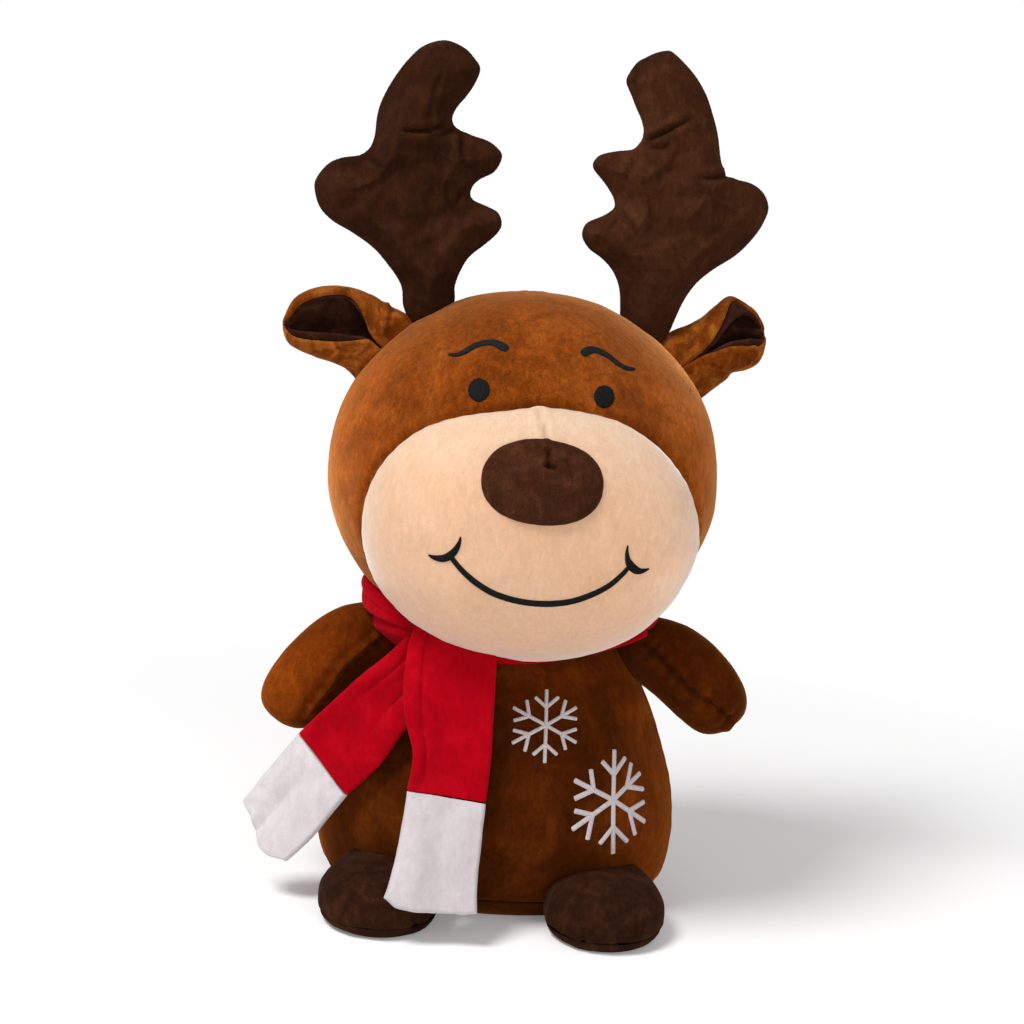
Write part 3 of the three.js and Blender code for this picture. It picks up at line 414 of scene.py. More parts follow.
def plush(name, dark, middle, light, patch, contrast, sheen, tint, fuzz, grain, tones=()):
    """Short pile: broad nap patches, streaks of stroked pile, and fine fuzz, with shade painted into its seams
    and creases, a highlight painted onto its ridges, and painted light, sheen and shade along an axis.
    """
    material, tree, shader, place = node_material(name, middle)
    reach = 0.22 / (0.4 + contrast)
    colour = ramp_node(tree, noise_node(tree, place, 1000 / patch, 4, 0.55, 1.0), [
        (0.5 - reach, linear(dark)), (0.5, linear(middle)), (0.5 + reach, linear(light)),
    ])
    stroked = {"Vector": place, "Scale": (1, 1, 0.4), "Rotation": (0.3, 0.5, 0.2)}
    streaks = noise_node(tree, add_node(tree, "ShaderNodeMapping", stroked).outputs["Vector"], *STREAK_NOISE)
    nap = noise_node(tree, place, *NAP_NOISE)
    fibres = noise_node(tree, place, *FIBRE_NOISE)
    # Painted shade and highlight: the colour darkens where a seam or crease pushed the surface in, and
    # lightens where it was pushed out.
    pushed = add_node(tree, "ShaderNodeAttribute", {}, attribute_name="pushed").outputs["Fac"]
    level = share_node(tree, pushed, -SHADE_AND_HIGHLIGHT_DEPTH, SHADE_AND_HIGHLIGHT_DEPTH)
    for value, stops in (
        (streaks, [(0.32, 1 - 0.22 * grain), (0.5, 1), (0.7, 1 + 0.3 * grain)]),
        (nap, [(0.34, 1 - 0.1 * grain), (0.5, 1), (0.68, 1 + 0.13 * grain)]),
        (fibres, [(0.3, 1 - 0.3 * grain), (0.5, 1), (0.72, 1 + 0.42 * grain)]),
        (level, [(0.06, 1 - 0.8 * contrast), (0.34, 1 - 0.08 * contrast), (0.5, 1),
                 (0.85, 1 + 0.4 * contrast)]),
    ):
        colour = toned(tree, colour, value, stops)
    # Painted light, sheen and shade along an axis.
    for axis, stops in tones:
        colour = toned_along(tree, colour, place, axis, stops)
    normal = bump_node(tree, streaks, fuzz, STREAK_BUMP)
    set_inputs(tree, shader, {
        "Base Color": colour, "Normal": bump_node(tree, fibres, fuzz, FIBRE_BUMP, normal), "Roughness": 1.0,
        "Specular IOR Level": 0.04, "Sheen Weight": sheen, "Sheen Roughness": 0.4,
        "Sheen Tint": (*linear(tint), 1),
    })
    return material


def thread(name, colour, light):
    """Satin stitch: glossy parallel thread."""
    material, tree, shader, place = node_material(name, colour)
    strands = noise_node(tree, place, *STRAND_NOISE)
    set_inputs(tree, shader, {
        "Base Color": ramp_node(tree, strands, [(0.36, linear(colour)), (0.66, linear(light))]),
        "Normal": bump_node(tree, strands, 0.5, STRAND_BUMP), "Roughness": 0.7, "Specular IOR Level": 0.06,
    })
    return material


def stuffing(name, colour):
    """Loose polyester fibre, or the calico of the pellet bag."""
    material, tree, shader, place = node_material(name, colour)
    clumps = noise_node(tree, place, *CLUMP_NOISE)
    shade = tuple(c * 0.82 for c in linear(colour))
    set_inputs(tree, shader, {
        "Base Color": ramp_node(tree, clumps, [(0.3, shade), (0.6, linear(colour))]),
        "Normal": bump_node(tree, clumps, 0.6, CLUMP_BUMP), "Roughness": 0.9, "Sheen Weight": 0.3,
    })
    return material


# Each plush has its dark, middle and light colour, the size of its patches in millimetres, their contrast,
# which also sets the shade painted in grooves and the highlight painted on ridges, its sheen and the sheen's
# tint, the strength of its fuzz and grain, and its tones along an axis, which paint light, sheen and shade
# onto a part.
# Painted sheen lightens both sides of the head, the left more, and painted light makes its top lighter than
# the part below it.
HEAD_PLUSH = plush(
    "head_plush", "#622A04", "#763608", "#8C4714", 38, 0.55, 1.0, "#F0A868", 0.4, 1.3,
    [("X", [(-112, 2.5), (-88, 1.75), (-62, 1.05), (56, 1.05), (88, 1.75), (108, 2.1)]),
     ("Z", [(256, 0.8), (296, 0.96)])])
EAR_PLUSH = plush("ear_plush", "#552504", "#74370A", "#9C5A22", 13, 0.7, 0.8, "#E09A58", 0.3, 0.9)
BODY_COLOURS = ("#341401", "#461B02", "#5C2905", 38, 0.5, 0.7, "#B8702A", 0.35, 0.9)
# Painted highlight lightens the torso's left and right sides, and painted light lifts the shade on its top
# under the head.
TORSO_PLUSH = plush(
    "torso_plush", *BODY_COLOURS,
    [("X", [(-104, 2.0), (-84, 1.4), (-60, 1.0), (54, 1.0), (84, 2.4)]), ("Z", [(100, 1.0), (142, 1.6)])])
# Painted highlight: the left arm is lit far lighter than the right.
ARM_PLUSH = plush(
    "arm_plush", *BODY_COLOURS, [("X", [(-138, 2.9), (-104, 2.4), (-84, 1.4), (60, 0.9), (136, 1.1)])])
# Painted shade: the left antler is darker than the right.
DARK_PLUSH = plush(
    "dark_plush", "#2A160A", "#371D0F", "#452717", 24, 0.5, 0.12, "#805238", 0.22, 0.9,
    [("X", [(-60, 0.72), (30, 1.1)])])
FOOT_PLUSH = plush("foot_plush", "#23120A", "#2E180D", "#3E2315", 14, 0.6, 0.15, "#80583C", 0.4, 0.9)
LINING_PLUSH = plush("lining_plush", "#22130B", "#32190F", "#482A1E", 11, 0.5, 0.4, "#7A5848", 0.3, 0.7)
# Painted sheen and light: the muzzle turns lighter and whiter towards its left and right edges and its top,
# and stays darker in its middle.
CREAM_PLUSH = plush(
    "cream_plush", "#DCAE8A", "#E0B491", "#E4BC9C", 46, 0.3, 1.0, "#FFFFFF", 0.14, 0.26,
    [("X", [(-96, (1.04, 1.14, 1.24)), (-66, 0.98), (-24, 0.93), (36, 0.96), (66, 1.06),
            (96, (1.18, 1.28, 1.38))]),
     ("Z", [(120, 1.0), (242, 1.0), (282, (1.0, 1.14, 1.28))])])
NOSE_PLUSH = plush("nose_plush", "#321A0E", "#3C2012", "#4E2C1C", 12, 0.5, 0.3, "#8A6448", 0.35, 1.0)
RED_FLEECE = plush("red_fleece", "#980110", "#A60213", "#B4081A", 26, 0.4, 0.3, "#F04858", 0.2, 0.35)
# Painted shade: the front tail's white end is darker than the side tail's.
WHITE_FLEECE = plush(
    "white_fleece", "#C8BFC1", "#D2CACC", "#DAD3D5", 20, 0.4, 0.3, "#FFFFFF", 0.22, 0.2,
    [("X", [(-64, 1.0), (-40, 0.85)])])
BLACK_THREAD = thread("black_thread", "#0A0A0B", "#1D1D1E")
BROW_THREAD = thread("brow_thread", "#101010", "#272626")
PALE_THREAD = thread("pale_thread", "#B6AAAC", "#DAD2D4")
FIBRE = stuffing("fibre", "#F2F0EA")
CALICO = stuffing("calico", "#D8D2C4")

# Stacked bodies, from the same shares as the solids, apart from the feet, which follow the photograph

TORSO = {
    "bottom": 0, "height": 157.7, "half_width": 98, "front": 80, "back": 71, "middle": 0,
    "shares": [
        [0, 0.80, 0.64, 0.70], [0.035, 0.90, 0.735, 0.79], [0.13, 0.975, 0.86, 0.90], [0.29, 1, 1, 1],
        [0.44, 0.965, 0.99, 0.985], [0.58, 0.885, 0.92, 0.93], [0.72, 0.79, 0.80, 0.84],
        [0.85, 0.68, 0.65, 0.74], [0.94, 0.57, 0.54, 0.65], [1, 0.49, 0.49, 0.59],
    ],
}
HEAD_MIDDLE = 240
HEAD_BACKSET = -4
HEAD_TURN = math.radians(5)
HEAD = {
    "bottom": HEAD_MIDDLE - 82, "height": 179, "half_width": 106.5, "front": 90.5, "back": 90.5,
    "middle": HEAD_BACKSET,
    "shares": [
        [0, 0.58, 0.56, 0.58], [0.045, 0.70, 0.68, 0.70], [0.12, 0.825, 0.82, 0.825],
        [0.22, 0.93, 0.93, 0.93], [0.34, 0.99, 1, 0.99], [0.46, 1, 1, 1], [0.58, 0.97, 0.965, 0.97],
        [0.69, 0.90, 0.90, 0.90], [0.79, 0.785, 0.785, 0.785], [0.88, 0.615, 0.615, 0.615],
        [0.95, 0.41, 0.41, 0.41], [0.987, 0.21, 0.21, 0.21], [1, 0, 0, 0],
    ],
}
FOOT = {
    "bottom": 0, "height": 42, "half_width": 33, "front": 37, "back": 37, "middle": -68,
    "shares": [
        [0, 0.78, 0.8, 0.8], [0.06, 0.9, 0.91, 0.91], [0.16, 0.97, 0.97, 0.97], [0.32, 1, 1, 1],
        [0.58, 0.96, 0.95, 0.95], [0.82, 0.78, 0.77, 0.77], [0.95, 0.46, 0.46, 0.46], [1, 0, 0, 0],
    ],
}
# How far the stuffing has settled: a share of the head's width, and millimetres of the belly.
HEAD_NARROWING = 0.022
BELLY_LEAN = 2.6
BELLY_SLACK = 3.4


def stacked(shape, sides, rows, start, end):
    """Rings of a stacked body, from share start to share end of its table."""
    table = spline(shape["shares"], np.linspace(start, end, rows))
    angle = circle(sides)
    x = np.outer(table[:, 1] * shape["half_width"], np.cos(angle))
    depth = np.where(np.sin(angle)[None] < 0, table[:, 2:3] * shape["front"], table[:, 3:4] * shape["back"])
    y = shape["middle"] + depth * np.sin(angle)
    z = np.repeat(shape["bottom"] + table[:, :1] * shape["height"], sides, axis=1)
    return np.stack([x, y, z], -1)


def head_settled(points):
    """The stuffing sits a little high, so the head narrows towards the neck."""
    points = np.array(points, float)
    points[..., 0] *= 1 - HEAD_NARROWING * smooth(228, 178, points[..., 2])
    return points


def torso_settled(points):
    """The belly leans a little to one side as it sits."""
    points = np.array(points, float)
    low = smooth(150, 50, points[..., 2])
    slack = BELLY_SLACK * np.clip(-points[..., 0] / TORSO["half_width"], 0, 1)
    points[..., 0] -= low * (BELLY_LEAN + slack)
    return points


def head_turned(points):
    """The head is turned a little about the neck."""
    points = np.array(points, float)
    x, y = points[..., 0].copy(), points[..., 1] - HEAD_BACKSET
    points[..., 0] = x * math.cos(HEAD_TURN) - y * math.sin(HEAD_TURN)
    points[..., 1] = HEAD_BACKSET + x * math.sin(HEAD_TURN) + y * math.cos(HEAD_TURN)
    return points


def on_head_plane(way):
    """Where a line of sight meets the turned plane of the ears and antlers, in the head's own frame."""
    start = head_turned(np.zeros(3))
    facing = np.array([-math.sin(HEAD_TURN), math.cos(HEAD_TURN), 0])
    way = np.asarray(way, float)
    place = CAMERA_PLACE + way * (facing @ (start - CAMERA_PLACE)) / (facing @ way) - start
    return np.array([place @ np.array([math.cos(HEAD_TURN), math.sin(HEAD_TURN), 0]), place[2]])


def pile(points, lump, clump, fuzz, seed):
    """Stuffing lumps, clumps of nap and fine pile, as heights."""
    return (lump * noise(points, 42, seed) + 0.4 * lump * noise(points, 17, seed + 1)
            + clump * noise(points, 6, seed + 2) + fuzz * noise(points, 2.2, seed + 3))


# Depth and width of each seam's groove, and height and pitch of its puckers.
BACK_SEAM = (1.0, 2.0, 0.35, 9)
MUZZLE_SEAM = (1.3, 2.4, 0.12, 9.5)
SIDE_SEAM = (0.8, 1.8, 0.08, 11)
ARM_FRONT_SEAM = (1.9, 1.8, 0.7, 8)
ARM_BACK_SEAM = (0.9, 2.2, 0.3, 9)
# How far the puckers reach from a seam.
PUCKER_REACH = 4.5


def seam(points, path, depth, width, pucker, pitch):
    """A sewn line: a groove with a soft roll beside it, and puckers across it."""
    distance, along = nearest_on(path, points)
    groove = -depth * bell(distance, width) + 0.3 * depth * bell(distance - 2.4 * width, 1.4 * width)
    wave = np.sin(math.tau * along / pitch + 1.7 * np.sin(along / 13.0))
    return groove + pucker * wave * bell(distance - 1.5 * width, PUCKER_REACH)


def pinched(points, path, depth, width, roll=0.8, roll_place=3.2, roll_width=1.8):
    """A line drawn in by its thread, with a soft roll on each side."""
    distance, _ = nearest_on(path, points)
    return roll * bell(distance - roll_place, roll_width) - depth * bell(distance, width)


# Head and muzzle

MUZZLE_MIDDLE = HEAD_MIDDLE - 28
MUZZLE_HALF_WIDTH = 89
MUZZLE_HALF_HEIGHT = 68
MUZZLE_DEPTH = 68
CHIN_TUCK = 46
MUZZLE_SQUARE = 2.25
# The stuffed panel's reach against its oval, every 15 degrees round from its right.
MUZZLE_FULLNESS = [
    1.025, 1.0, 1.005, 1.025, 1.06, 1.07, 1.075, 1.045, 1.035, 1.035, 1.015, 1.0,
    0.99, 0.965, 0.945, 0.945, 0.955, 0.97, 1.0, 0.99, 0.98, 0.975, 0.965, 0.985,
]
FACE_SEAM = [(539, 410), (541, 418), (544, 430), (546.7, 439)]

# Sides and rows of each mesh.
HEAD_MESH = (400, 190)
MUZZLE_MESH = (360, 96)
RIM_SIDES = 240
PANEL_TUCK = 12


def head_depth(x, z):
    """How far the head's front lies before the neck axis."""
    table = spline(HEAD["shares"], np.linspace(0, 1, 200))
    level = HEAD["bottom"] + table[:, 0] * HEAD["height"]
    wide = np.interp(z, level, table[:, 1]) * HEAD["half_width"]
    front = np.interp(z, level, table[:, 2]) * HEAD["front"]
    share = np.clip(1 - (x / np.maximum(wide, 1)) ** 2, 0, 1)
    return np.where(z > level[0], front * np.sqrt(share), 0)


def muzzle_rim(sides):
    """Across, height over the muzzle's middle, and depth of the panel's sewn edge."""
    angle = -circle(sides)
    x = MUZZLE_HALF_WIDTH * squared(np.sin(angle), MUZZLE_SQUARE)
    rise = MUZZLE_HALF_HEIGHT * squared(np.cos(angle), MUZZLE_SQUARE)
    turn = np.degrees(np.arctan2(rise, x)) % 360
    fullness = np.interp(turn, np.arange(0, 375, 15), MUZZLE_FULLNESS + MUZZLE_FULLNESS[:1])
    x, rise = x * fullness, rise * fullness
    depth = np.maximum(head_depth(x, MUZZLE_MIDDLE + rise), CHIN_TUCK)
    return x, rise, depth


def muzzle_rings(sides, rows):
    x, rise, depth = muzzle_rim(sides)
    apex = CHIN_TUCK + MUZZLE_DEPTH
    lean = (1 - np.linspace(0, 1, rows) * 0.985)[:, None] * math.pi / 2
    y = HEAD_BACKSET - depth - (apex - depth) * np.cos(lean)
    return np.stack([x * np.sin(lean), y, MUZZLE_MIDDLE + rise * np.sin(lean)], -1)


def make_head():
    x, rise, depth = muzzle_rim(RIM_SIDES)
    rim = head_turned(np.stack([x, HEAD_BACKSET - depth, MUZZLE_MIDDLE + rise], -1))
    rim_path = np.concatenate([rim, rim[:1]])
    rings = head_turned(head_settled(stacked(HEAD, *HEAD_MESH, 0.0, 0.9985)))
    head, base = formed("head_plush_cover", capped(rings), HEAD_PLUSH)
    z, w, _, _ = spline(HEAD["shares"], np.linspace(0.02, 0.97, 60)).T
    y = HEAD_BACKSET + HEAD["back"] * w * 1.02
    back_line = np.stack([0 * z, y, HEAD["bottom"] + z * HEAD["height"]], -1)
    heights = pile(base, 0.8, 0.12, 0.05, 11)
    heights += seam(base, rim_path, *MUZZLE_SEAM)
    heights += seam(base, head_turned(back_line), *BACK_SEAM)
    push(head, heights)

    rings = head_turned(muzzle_rings(*MUZZLE_MESH))
    inner = rings[0] + np.array([0, PANEL_TUCK, 0])
    inner = inner.mean(0) + (inner - inner.mean(0)) * 0.9
    mesh = capped(np.concatenate([inner[None], rings]))
    muzzle, base = formed("muzzle_plush_panel", mesh, CREAM_PLUSH)
    distance, along = nearest_on(rim_path, base)
    heights = pile(base, 0.6, 0.08, 0.04, 23) - 1.2 * bell(distance, 2.4) + 0.4 * bell(distance - 7, 5)
    heights += 0.1 * np.sin(math.tau * along / MUZZLE_SEAM[3]) * bell(distance - 4, 5)
    heights += pinched(base, hits(tree_of(*mesh), FACE_SEAM), 2.0, 1.2)
    push(muzzle, np.where(base[:, 1] < base[:, 1].max() - 4, heights, 0))
    return head, muzzle


head, muzzle = make_head()
head_tree = tree_from(head)
muzzle_tree = tree_from(muzzle)

# Sewn-on patches and thread

NOSE_MIDDLE = (542.5, 482.5)
NOSE_RADII = (62, 43.5)
NOSE_TILT = math.radians(5)
NOSE_SQUARE = 2.2
# Heights of the nose patch over the muzzle, and the share of its radius where its edge begins.
NOSE_RISE = 3.4
NOSE_CROWN = 0.6
NOSE_EDGE = 0.78
# Lines of the photograph that the nose's thread draws in.
NOSE_SEAM = [(546.7, 438), (548.7, 451.7), (549.3, 465)]
NOSE_TACK = [(545.5, 465.5), (549.5, 467.5), (554.5, 468.5)]
NOSE_MESH = (34, 170)
EYE_MESH = (10, 48)
EYE_RISE = 1.5
EYE_PITCH = 1.05
# How far a patch's edge goes in behind the surface under it.
PATCH_TUCK = 1.5


def disc(tree, middle, radii, tilt, rows, sides, rise, square=2.0):
    """A patch over an oval of the photograph: a closed dome that follows the surface under it."""
    angle = circle(sides)
    u = radii[0] * squared(np.cos(angle), square)
    v = radii[1] * squared(np.sin(angle), square)
    across = u * math.cos(tilt) - v * math.sin(tilt)
    down = u * math.sin(tilt) + v * math.cos(tilt)
    rings = []
    for share in np.arange(1, rows + 1) / rows:
        found = [cast(tree, middle[0] + x * share, middle[1] + y * share) for x, y in zip(across, down)]
        rings.append([place + normal * rise(share) for place, normal in found])
    rings.append([tucked(tree, point) for point in rings[-1]])
    return capped(rings)


def tucked(tree, point):
    """A point just behind the surface, under the given one."""
    place = np.array(tree.find_nearest(Vector(point))[0])
    return place + (place - point) * 0.2 + np.array([0, PATCH_TUCK, 0])


def nose_rise(share):
    """Height of the nose patch at a share of its radius: nearly level, with a round edge."""
    edge = max(0, (share - NOSE_EDGE) / (1 - NOSE_EDGE)) ** 2.4
    return NOSE_RISE * (1 - edge) + NOSE_CROWN * (1 - share**2) - NOSE_CROWN * (share > 0.99)


def eye_rise(share):
    return EYE_RISE * math.sqrt(max(0, 1 - share**2.4)) - 0.15


def make_nose():
    mesh = disc(muzzle_tree, NOSE_MIDDLE, NOSE_RADII, NOSE_TILT, *NOSE_MESH, nose_rise, NOSE_SQUARE)
    nose, base = formed("nose_plush_patch", mesh, NOSE_PLUSH)
    own = tree_of(*mesh)
    heights = pile(base, 0.3, 0.16, 0.1, 31)
    heights += pinched(base, hits(own, NOSE_SEAM), 2.8, 1.3)
    heights += pinched(base, hits(own, NOSE_TACK), 2.4, 1.1)
    push(nose, heights)
    return nose


def satin(tree, pixels, widths, rise=1.1, pitch=0.9, blunt=1.0):
    """Satin stitch along a line of the photograph: a low round ridge, grooved between its threads."""
    line = spline(pixels, np.linspace(0, 1, 14 * len(pixels)))
    centre, normal = np.array([cast(tree, px, py) for px, py in line]).transpose(1, 0, 2)
    across = unit(np.cross(unit(np.gradient(centre, axis=0)), normal))
    length = run_along(centre)
    share = length / length[-1]
    widths = np.reshape(widths, (-1, 1)) if np.ndim(widths) else np.full((2, 1), widths)
    width = spline(widths, share)[:, 0]
    from_end = np.minimum(length, length[-1] - length) / (width / 2) * blunt
    end = np.sqrt(np.clip(1 - (1 - np.minimum(1, from_end)) ** 2, 0.03, 1))
    ridge = 1 + 0.14 * np.cos(math.tau * length / pitch)
    angle = circle(12)
    wide = (width / 2 * end)[:, None] * np.cos(angle)
    high = (rise * np.minimum(1, width / 2) * ridge * end)[:, None] * np.sin(angle) - 0.1
    rings = centre[:, None] + across[:, None] * wide[..., None] + normal[:, None] * high[..., None]
    return capped(rings[:, ::-1])


def joined(parts):
    """Several closed meshes as one."""
    points, faces, count = [], [], 0
    for part_points, part_faces in parts:
        points.append(part_points)
        faces += [[int(i) + count for i in face] for face in part_faces]
        count += len(part_points)
    return np.concatenate(points), faces


EYES = {"left": ((479, 390), (11.2, 12.2)), "right": ((604.3, 396.7), (10.6, 11.8))}

# Lines of thread in the photograph, with their widths in millimetres.
BROWS = {
    "left": (
        [(448, 354.5), (457, 355), (465, 351.7), (473.3, 346.7), (483.3, 343.3), (492.7, 342.7), (501.7, 346),
         (507.5, 351)],
        [1.5, 2.8, 3.8, 4.2, 4.2, 4.4, 5.2, 4.6],
    ),
    "right": (
        [(582.6, 356), (586.7, 351.3), (593.3, 349.8), (601.7, 352.3), (610, 357.3), (618.3, 364),
         (626.7, 368.3), (635, 369)],
        [4.4, 5.2, 4.8, 4.2, 3.8, 3.6, 3.0, 1.6],
    ),
}
MOUTH = [
    ([(449, 554), (453.3, 560), (463.3, 571.7), (476.7, 583.3), (493.3, 593.3), (513.3, 600), (533.3, 603.3),
      (553.3, 603.7), (573.3, 601), (593.3, 594), (610, 585), (623.3, 573.3), (628.5, 567)],
     [2.8, 3.0, 3.4, 3.6, 3.7, 3.7, 3.8, 3.8, 3.7, 3.6, 3.5, 3.2, 2.8]),
    ([(428.3, 555), (435, 557.7), (443.3, 558.5), (450.7, 555), (456, 549.3), (459.3, 542.7), (460.7, 536.7)],
     [1.0, 2.8, 3.9, 4.2, 3.6, 2.4, 1.0]),
    ([(627.7, 545.3), (626.9, 553.3), (628.4, 561.7), (633.3, 568.3), (640, 571.3), (649.3, 568.7)],
     [1.0, 2.4, 4.2, 4.4, 3.0, 1.0]),
]


def make_face():
    pieces = [(make_nose(), "nose_panel", "nose_plush")]
    for side, (middle, radii) in EYES.items():
        mesh = disc(head_tree, middle, radii, 0.0, *EYE_MESH, eye_rise)
        eye, base = formed(f"eye_{side}_stitching", mesh, BLACK_THREAD)
        push(eye, 0.14 * np.cos(math.tau * base[:, 2] / EYE_PITCH + 0.5 * noise(base, 3, 7)))
        pieces.append((eye, f"eye_{side}", "black_thread"))
        brow = add_object(f"brow_{side}_stitching", *satin(head_tree, *BROWS[side]), BROW_THREAD)
        pieces.append((brow, f"brow_{side}", "black_thread"))
    strokes = joined([satin(muzzle_tree, *line) for line in MOUTH])
    mouth = add_object("mouth_satin_stitching", *strokes, BLACK_THREAD)
    pieces.append((mouth, "mouth_stitching", "black_thread"))
    return pieces


face_pieces = make_face()

# Torso and base

BASE_SEAM = 11.5
# Turn of the side seams towards the front, in radians.
SIDE_SEAM_TURN = 0.10
TORSO_MESH = (380, 128)
# Rows of each underside's flat part and of the wall up to its seam.
FLAT_ROWS = 26
WALL_ROWS = 14


def rounded_base(shape, sides, seam_share):
    """Rings of a flat underside with a soft corner, up to the base seam."""
    wall = stacked(shape, sides, WALL_ROWS, 0.0, seam_share)
    wall[0, :, 2] = 0.0
    flat = wall[0] * np.linspace(0.04, 0.985, FLAT_ROWS)[:, None, None]
    return np.concatenate([flat, wall])


def share_at(shape, level):
    """The table's share whose height is the level."""
    t = np.linspace(0, 1, 2001)
    return float(np.interp(level, shape["bottom"] + spline(shape["shares"], t)[:, 0] * shape["height"], t))


def make_torso():
    split = share_at(TORSO, BASE_SEAM)
    rings = torso_settled(stacked(TORSO, *TORSO_MESH, split, 1.0))
    torso, base = formed("torso_plush_cover", capped(rings), TORSO_PLUSH)
    over_seam = base[:, 2] - BASE_SEAM
    heights = pile(base, 0.9, 0.12, 0.05, 41)
    z, w, f, b = spline(TORSO["shares"], np.linspace(0.0, 1.0, 60)).T
    level = z * TORSO["height"]
    for sign in (1, -1):
        x = sign * TORSO["half_width"] * w * math.cos(SIDE_SEAM_TURN)
        path = np.stack([x, -TORSO["front"] * f * math.sin(SIDE_SEAM_TURN), level], -1)
        heights += seam(base, torso_settled(path), *SIDE_SEAM)
    back_line = torso_settled(np.stack([0 * z, TORSO["back"] * b, level], -1))
    heights += seam(base, back_line, *BACK_SEAM)
    heights *= 1 - 0.7 * bell(over_seam, 6.0)
    heights -= 0.6 * bell(over_seam, 2.0)
    heights += 0.12 * np.sin(np.arctan2(base[:, 1], base[:, 0]) * 46) * bell(over_seam - 5, 6)
    push(torso, np.where(base[:, 2] < TORSO["height"] - 1, heights, 0))

    rings = torso_settled(rounded_base(TORSO, TORSO_MESH[0], split))
    panel, base = formed("base_plush_panel", capped(rings), TORSO_PLUSH)
    heights = pile(base, 0.3, 0.1, 0.05, 43) * smooth(0, 4, base[:, 2])
    heights -= 0.6 * bell(base[:, 2] - BASE_SEAM, 2.0)
    push(panel, np.where(base[:, 2] > 0.5, heights, 0))
    return torso, panel


torso, base_panel = make_torso()
torso_tree = tree_from(torso)

# Feet

SOLE_SEAM = 6.5
FOOT_OUT = 59
FOOT_SHIFT = {"left": -3.5, "right": -1.2}
FOOT_SLOPE = 0.24
# Places of the stitches that draw in each foot's front, in x and z.
FOOT_PUCKER = {"left": [(-40, 4), (-44, 14)], "right": [(47, 3), (46.5, 9), (47, 17)]}
FOOT_MESH = (170, 52)
FOOT_SEEDS = {"left": 61, "right": 51}


def make_foot(side):
    sign = 1 if side == "right" else -1
    seed = FOOT_SEEDS[side]
    split = share_at(FOOT, SOLE_SEAM)
    upper = stacked(FOOT, *FOOT_MESH, split, 0.998)
    sole = rounded_base({**FOOT, "middle": 0}, FOOT_MESH[0], split) + np.array([0, FOOT["middle"], 0])
    made = []
    for name, rings in (("upper", upper), ("sole", sole)):
        rings[..., 0] += sign * FOOT_OUT + FOOT_SHIFT[side]
        above = np.maximum(rings[..., 2] - SOLE_SEAM, 0)
        rings[..., 2] -= above * FOOT_SLOPE * smooth(FOOT["middle"] + 34, FOOT["middle"] + 8, rings[..., 1])
        piece, base = formed(f"foot_{side}_plush_{name}", capped(rings), FOOT_PLUSH)
        over_seam = base[:, 2] - SOLE_SEAM
        around = np.arctan2(base[:, 1] - FOOT["middle"], base[:, 0] - sign * FOOT_OUT)
        heights = pile(base, 1.0, 0.25, 0.1, seed) * smooth(0, 4, base[:, 2]) - 0.5 * bell(over_seam, 1.2)
        heights += 0.2 * np.sin(around * 15 + 1.5 * noise(base, 20, seed)) * bell(over_seam - 3, 6)
        puckers = [(x, 0, z) for x, z in FOOT_PUCKER[side]]
        drawn_in = pinched(base * np.array([1, 0, 1]), puckers, 0.9, 1.2, 0.4, 3.5, 2.5)
        heights += np.where(base[:, 1] < FOOT["middle"], drawn_in, 0)
        push(piece, np.where(base[:, 2] > 0.3, heights, 0))
        made.append((piece, f"foot_{side}_{name}"))
    return made


# Arms

ARM_RADIUS = 20.5
ARM_FLATNESS = 0.95
ARM_MESH = (130, 110)
# The line of each arm with its radii, and the seam and ridge that run down its front in the photograph.
ARMS = {
    "left": {
        "spine": [(-59, -3, 146), (-88, -4, 137.5), (-110.5, -7, 116.5), (-127, -9, 89.5)],
        "radii": [0.72, 0.96, 1.02, 0.9],
        "seam": [(378, 637), (360, 652), (342, 668), (330, 687), (318, 702), (309, 714)],
        "seed": 81,
    },
    "right": {
        "spine": [(57, -3, 146.5), (86, -4, 138.5), (109, -6, 121), (122, -9, 101)],
        "radii": [0.78, 1.0, 1.02, 0.76],
        "seam": [(645, 643), (652, 650), (659, 656), (673, 672), (687, 687), (700, 697), (717, 708),
                 (726, 716), (731, 721)],
        "ridge": [(655, 664), (668, 679), (682, 694), (697, 705), (712, 716), (728, 729)],
        "seed": 71,
    },
}


def tube(spine, radii, radius, flatness, sides, steps):
    """Rings of a limb with rounded ends, and the line of their middles."""
    t = (1 - np.cos(np.linspace(0.02, 0.98, steps) * math.pi)) / 2
    centre = spline(spine, t)
    length = run_along(spline(spine, np.linspace(0, 1, 400)))[-1]
    tangent = unit(np.gradient(centre, axis=0))
    deep = unit(np.array([0, 1.0, 0]) - tangent * tangent[:, 1:2])
    wide = np.cross(deep, tangent)
    full = spline(np.array(radii)[:, None], t)[:, 0] * radius
    from_end = np.minimum(1, np.minimum(t, 1 - t) * length / full)
    r = (full * np.sqrt(1 - (1 - from_end) ** 2))[:, None]
    angle = circle(sides)
    rings = (centre[:, None] + wide[:, None] * (r * np.cos(angle))[..., None]
             + deep[:, None] * (flatness * r * np.sin(angle))[..., None])
    return rings, centre


def make_arm(side):
    arm = ARMS[side]
    rings, centre = tube(arm["spine"], arm["radii"], ARM_RADIUS, ARM_FLATNESS, *ARM_MESH)
    mesh = capped(rings if side == "right" else rings[:, ::-1])
    piece, base = formed(f"arm_{side}_plush_cover", mesh, ARM_PLUSH)
    plain = tree_of(*mesh)
    front_line = hits(plain, arm["seam"])
    back_line = centre - (front_line.mean(0) - centre.mean(0))
    heights = pile(base, 0.8, 0.12, 0.05, arm["seed"])
    heights += seam(base, front_line, *ARM_FRONT_SEAM)
    if "ridge" in arm:
        distance, _ = nearest_on(hits(plain, arm["ridge"]), base)
        heights += 1.5 * bell(distance, 3.0)
    heights += seam(base, back_line[8:-6], *ARM_BACK_SEAM)
    push(piece, heights)
    return piece


# Antlers: two flat cuts of plush, sewn round and blown up with stuffing

